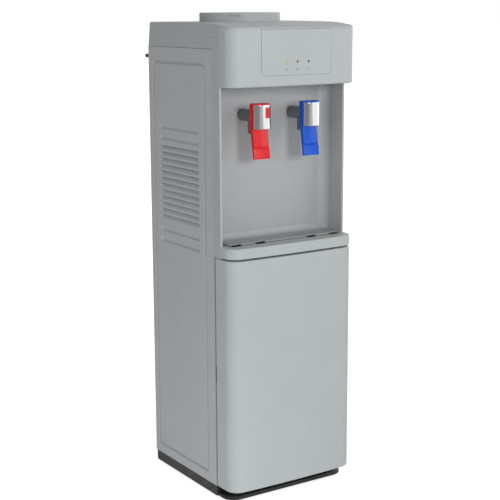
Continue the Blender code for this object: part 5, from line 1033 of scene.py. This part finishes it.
def repaint():
    """Procedural materials for the nodes that keep their own solids."""
    looks = (
        (ZINC, "rear_panel hinge_lower hinge_upper tank_shelf tank_cradle heater_band"),
        (DARK, "rear_stud_left rear_stud_right door_catch switch_plate"),
        (WHITE, "cabinet_liner door_liner"), (STEEL, "cold_tank hot_tank"),
        (COPPER, "evaporator_coil discharge_line suction_line filter_drier"),
        (HOSE, "cold_hose hot_hose link_hose drain_hose"),
        (RUBBER, "foot_front_left foot_front_right foot_rear_left foot_rear_right"),
        (SILVER, "door_frame"), (BOARD, "indicator_board"), (FOAM, "foam_jacket"),
        (RED, "hot_switch"), (BLUE, "cold_switch"))
    for mat, names in looks:
        for name in names.split():
            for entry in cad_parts[name].material_slots:
                entry.link = "OBJECT"
                entry.material = mat


# The studio

def make_camera():
    """The camera that was fitted to the photograph's edges; lengths in its pixels."""
    picture, focal, shift_x, shift_y, sensor = 500.0, 1201.1, -1.36, -0.03, 36.0
    azimuth, pitch, roll = (radians(a) for a in (-33.189, 11.436, -0.261))
    back = Vector((sin(azimuth) * cos(pitch), -cos(azimuth) * cos(pitch), sin(pitch)))
    right = (-back).cross(Vector((0, 0, 1))).normalized()
    up = right.cross(-back)
    right, up = (cos(roll) * right + sin(roll) * up, -sin(roll) * right + cos(roll) * up)
    data = bpy.data.cameras.new("camera")
    data.sensor_width = sensor
    data.lens = focal * sensor / picture
    data.shift_x = shift_x / picture
    data.shift_y = shift_y / picture
    data.clip_end = 200.0
    camera = bpy.data.objects.new("camera", data)
    turn = Matrix((right, up, back)).transposed().to_4x4()
    camera.matrix_world = Matrix.Translation((-1.40315, -2.15427, 1.0207)) @ turn
    scene.collection.objects.link(camera)
    scene.camera = camera


def area_light(name, azimuth, height, distance, width, tall, power, aim_height=None):
    """A soft box at an azimuth round the object: 0 is straight in front, 90 on the right."""
    a = radians(azimuth)
    data = bpy.data.lights.new(name, "AREA")
    data.shape = "RECTANGLE"
    data.size = width
    data.size_y = tall
    data.energy = power
    light = bpy.data.objects.new(name, data)
    place = Vector((distance * sin(a), -distance * cos(a), height))
    light.location = place
    aim = Vector((0, 0, height if aim_height is None else aim_height))
    light.rotation_euler = (aim - place).to_track_quat("-Z", "Y").to_euler()
    scene.collection.objects.link(light)


def make_world():
    """A pale room all round, with a white card on the right for the gloss; white to the camera."""
    world = bpy.data.worlds.new("studio")
    scene.world = world
    world.use_nodes = True
    tree = world.node_tree
    tree.nodes.clear()
    path = new_node(tree, "LightPath").outputs
    split = new_node(tree, "SeparateXYZ", {0: new_node(tree, "TexCoord").outputs["Generated"]})
    card = combine(tree, "MULTIPLY", span(tree, split.outputs["X"], 0.2, 0.9, 0.0, 1.6),
                   path["Is Glossy Ray"])
    ambient = new_node(tree, "Background", {"Color": (0.97, 0.99, 1.0, 1.0),
                                            "Strength": combine(tree, "ADD", card, 0.41)})
    seen = new_node(tree, "Background", {"Color": (1.0, 1.0, 1.0, 1.0)})
    direct = combine(tree, "MAXIMUM", path["Is Camera Ray"], path["Is Transmission Ray"])
    mix = new_node(tree, "MixShader", {0: direct, 1: ambient.outputs[0], 2: seen.outputs[0]})
    new_node(tree, "OutputWorld", {"Surface": mix.outputs[0]})


def make_floor():
    """A pale floor that takes the object's shadow.

    It glows to the camera, more further out, so that it reads white. Its glow lights the lower
    left side of the object, and gloss sees it as a gradient from the dark left to the bright right.
    """
    bm = bmesh.new()
    bmesh.ops.create_grid(bm, x_segments=1, y_segments=1, size=60.0)
    floor = to_object("floor", bm)
    mat, tree, shader = node_tree("floor_white")
    coords = new_node(tree, "TexCoord").outputs["Object"]
    path = new_node(tree, "LightPath").outputs
    tone = blend(tree, remap(tree, noise(tree, coords, 0.8), 0.0, 1.0), (0.83, 0.83, 0.83),
                 (0.85, 0.85, 0.85))
    feed(tree, shader, {"Base Color": tone, "Roughness": 0.9, "Specular IOR Level": 0.0})

    reach = new_node(tree, "VectorMath", {0: coords}, operation="LENGTH").outputs["Value"]
    seen = combine(tree, "MULTIPLY", span(tree, reach, 0.3, 3.0, 0.7, 0.95), path["Is Camera Ray"])
    beside = new_node(tree, "VectorMath", {0: coords, 1: (-0.65, -0.35, 0.0)},
                      operation="DISTANCE").outputs["Value"]
    bounce = combine(tree, "MULTIPLY", span(tree, beside, 0.3, 1.0, 0.6, 0.0),
                     path["Is Diffuse Ray"])
    glow = new_node(tree, "Emission", {"Strength": combine(tree, "ADD", seen, bounce)})
    lit = new_node(tree, "AddShader", {0: shader.outputs[0], 1: glow.outputs[0]})

    across = new_node(tree, "SeparateXYZ", {0: coords}).outputs["X"]
    near = span(tree, across, -3.0, 1.5, 0.23, 0.52)
    far = span(tree, across, 2.4, 4.1, 0.0, 0.53)
    shine = new_node(tree, "Emission", {"Strength": combine(tree, "ADD", near, far)})
    mirrored = new_node(tree, "MixShader", {0: path["Is Glossy Ray"], 1: lit.outputs[0],
                                            2: shine.outputs[0]})
    feed(tree, tree.nodes["Material Output"], {"Surface": mirrored.outputs[0]})
    floor.data.materials.append(mat)


def make_studio():
    make_world()
    make_floor()
    area_light("key", -7, 1.6, 4.5, 1.0, 1.0, 67)
    area_light("broad", 40, 1.4, 4.5, 3.0, 1.6, 20, 0.7)
    area_light("fill", -55, 1.1, 3.5, 1.2, 1.2, 10.4, 0.7)
    area_light("right", 95, 1.1, 3.0, 2.4, 2.0, 6)
    scene.view_settings.view_transform = "Standard"


make_door()
make_header()
make_cover()
make_recess()
make_shelf()
make_tray()
make_plate()
make_side(-1, "side_panel_left")
make_side(1, "side_panel_right")
make_plinth()
make_seat()
make_lever("hot", -TAP_X, RED)
make_tap_body("hot", -TAP_X)
make_lever("cold", TAP_X, BLUE)
make_tap_body("cold", TAP_X)
make_lock(-TAP_X)
make_condenser()
make_compressor()
make_screws()
make_fittings()
repaint()
make_camera()
make_studio()
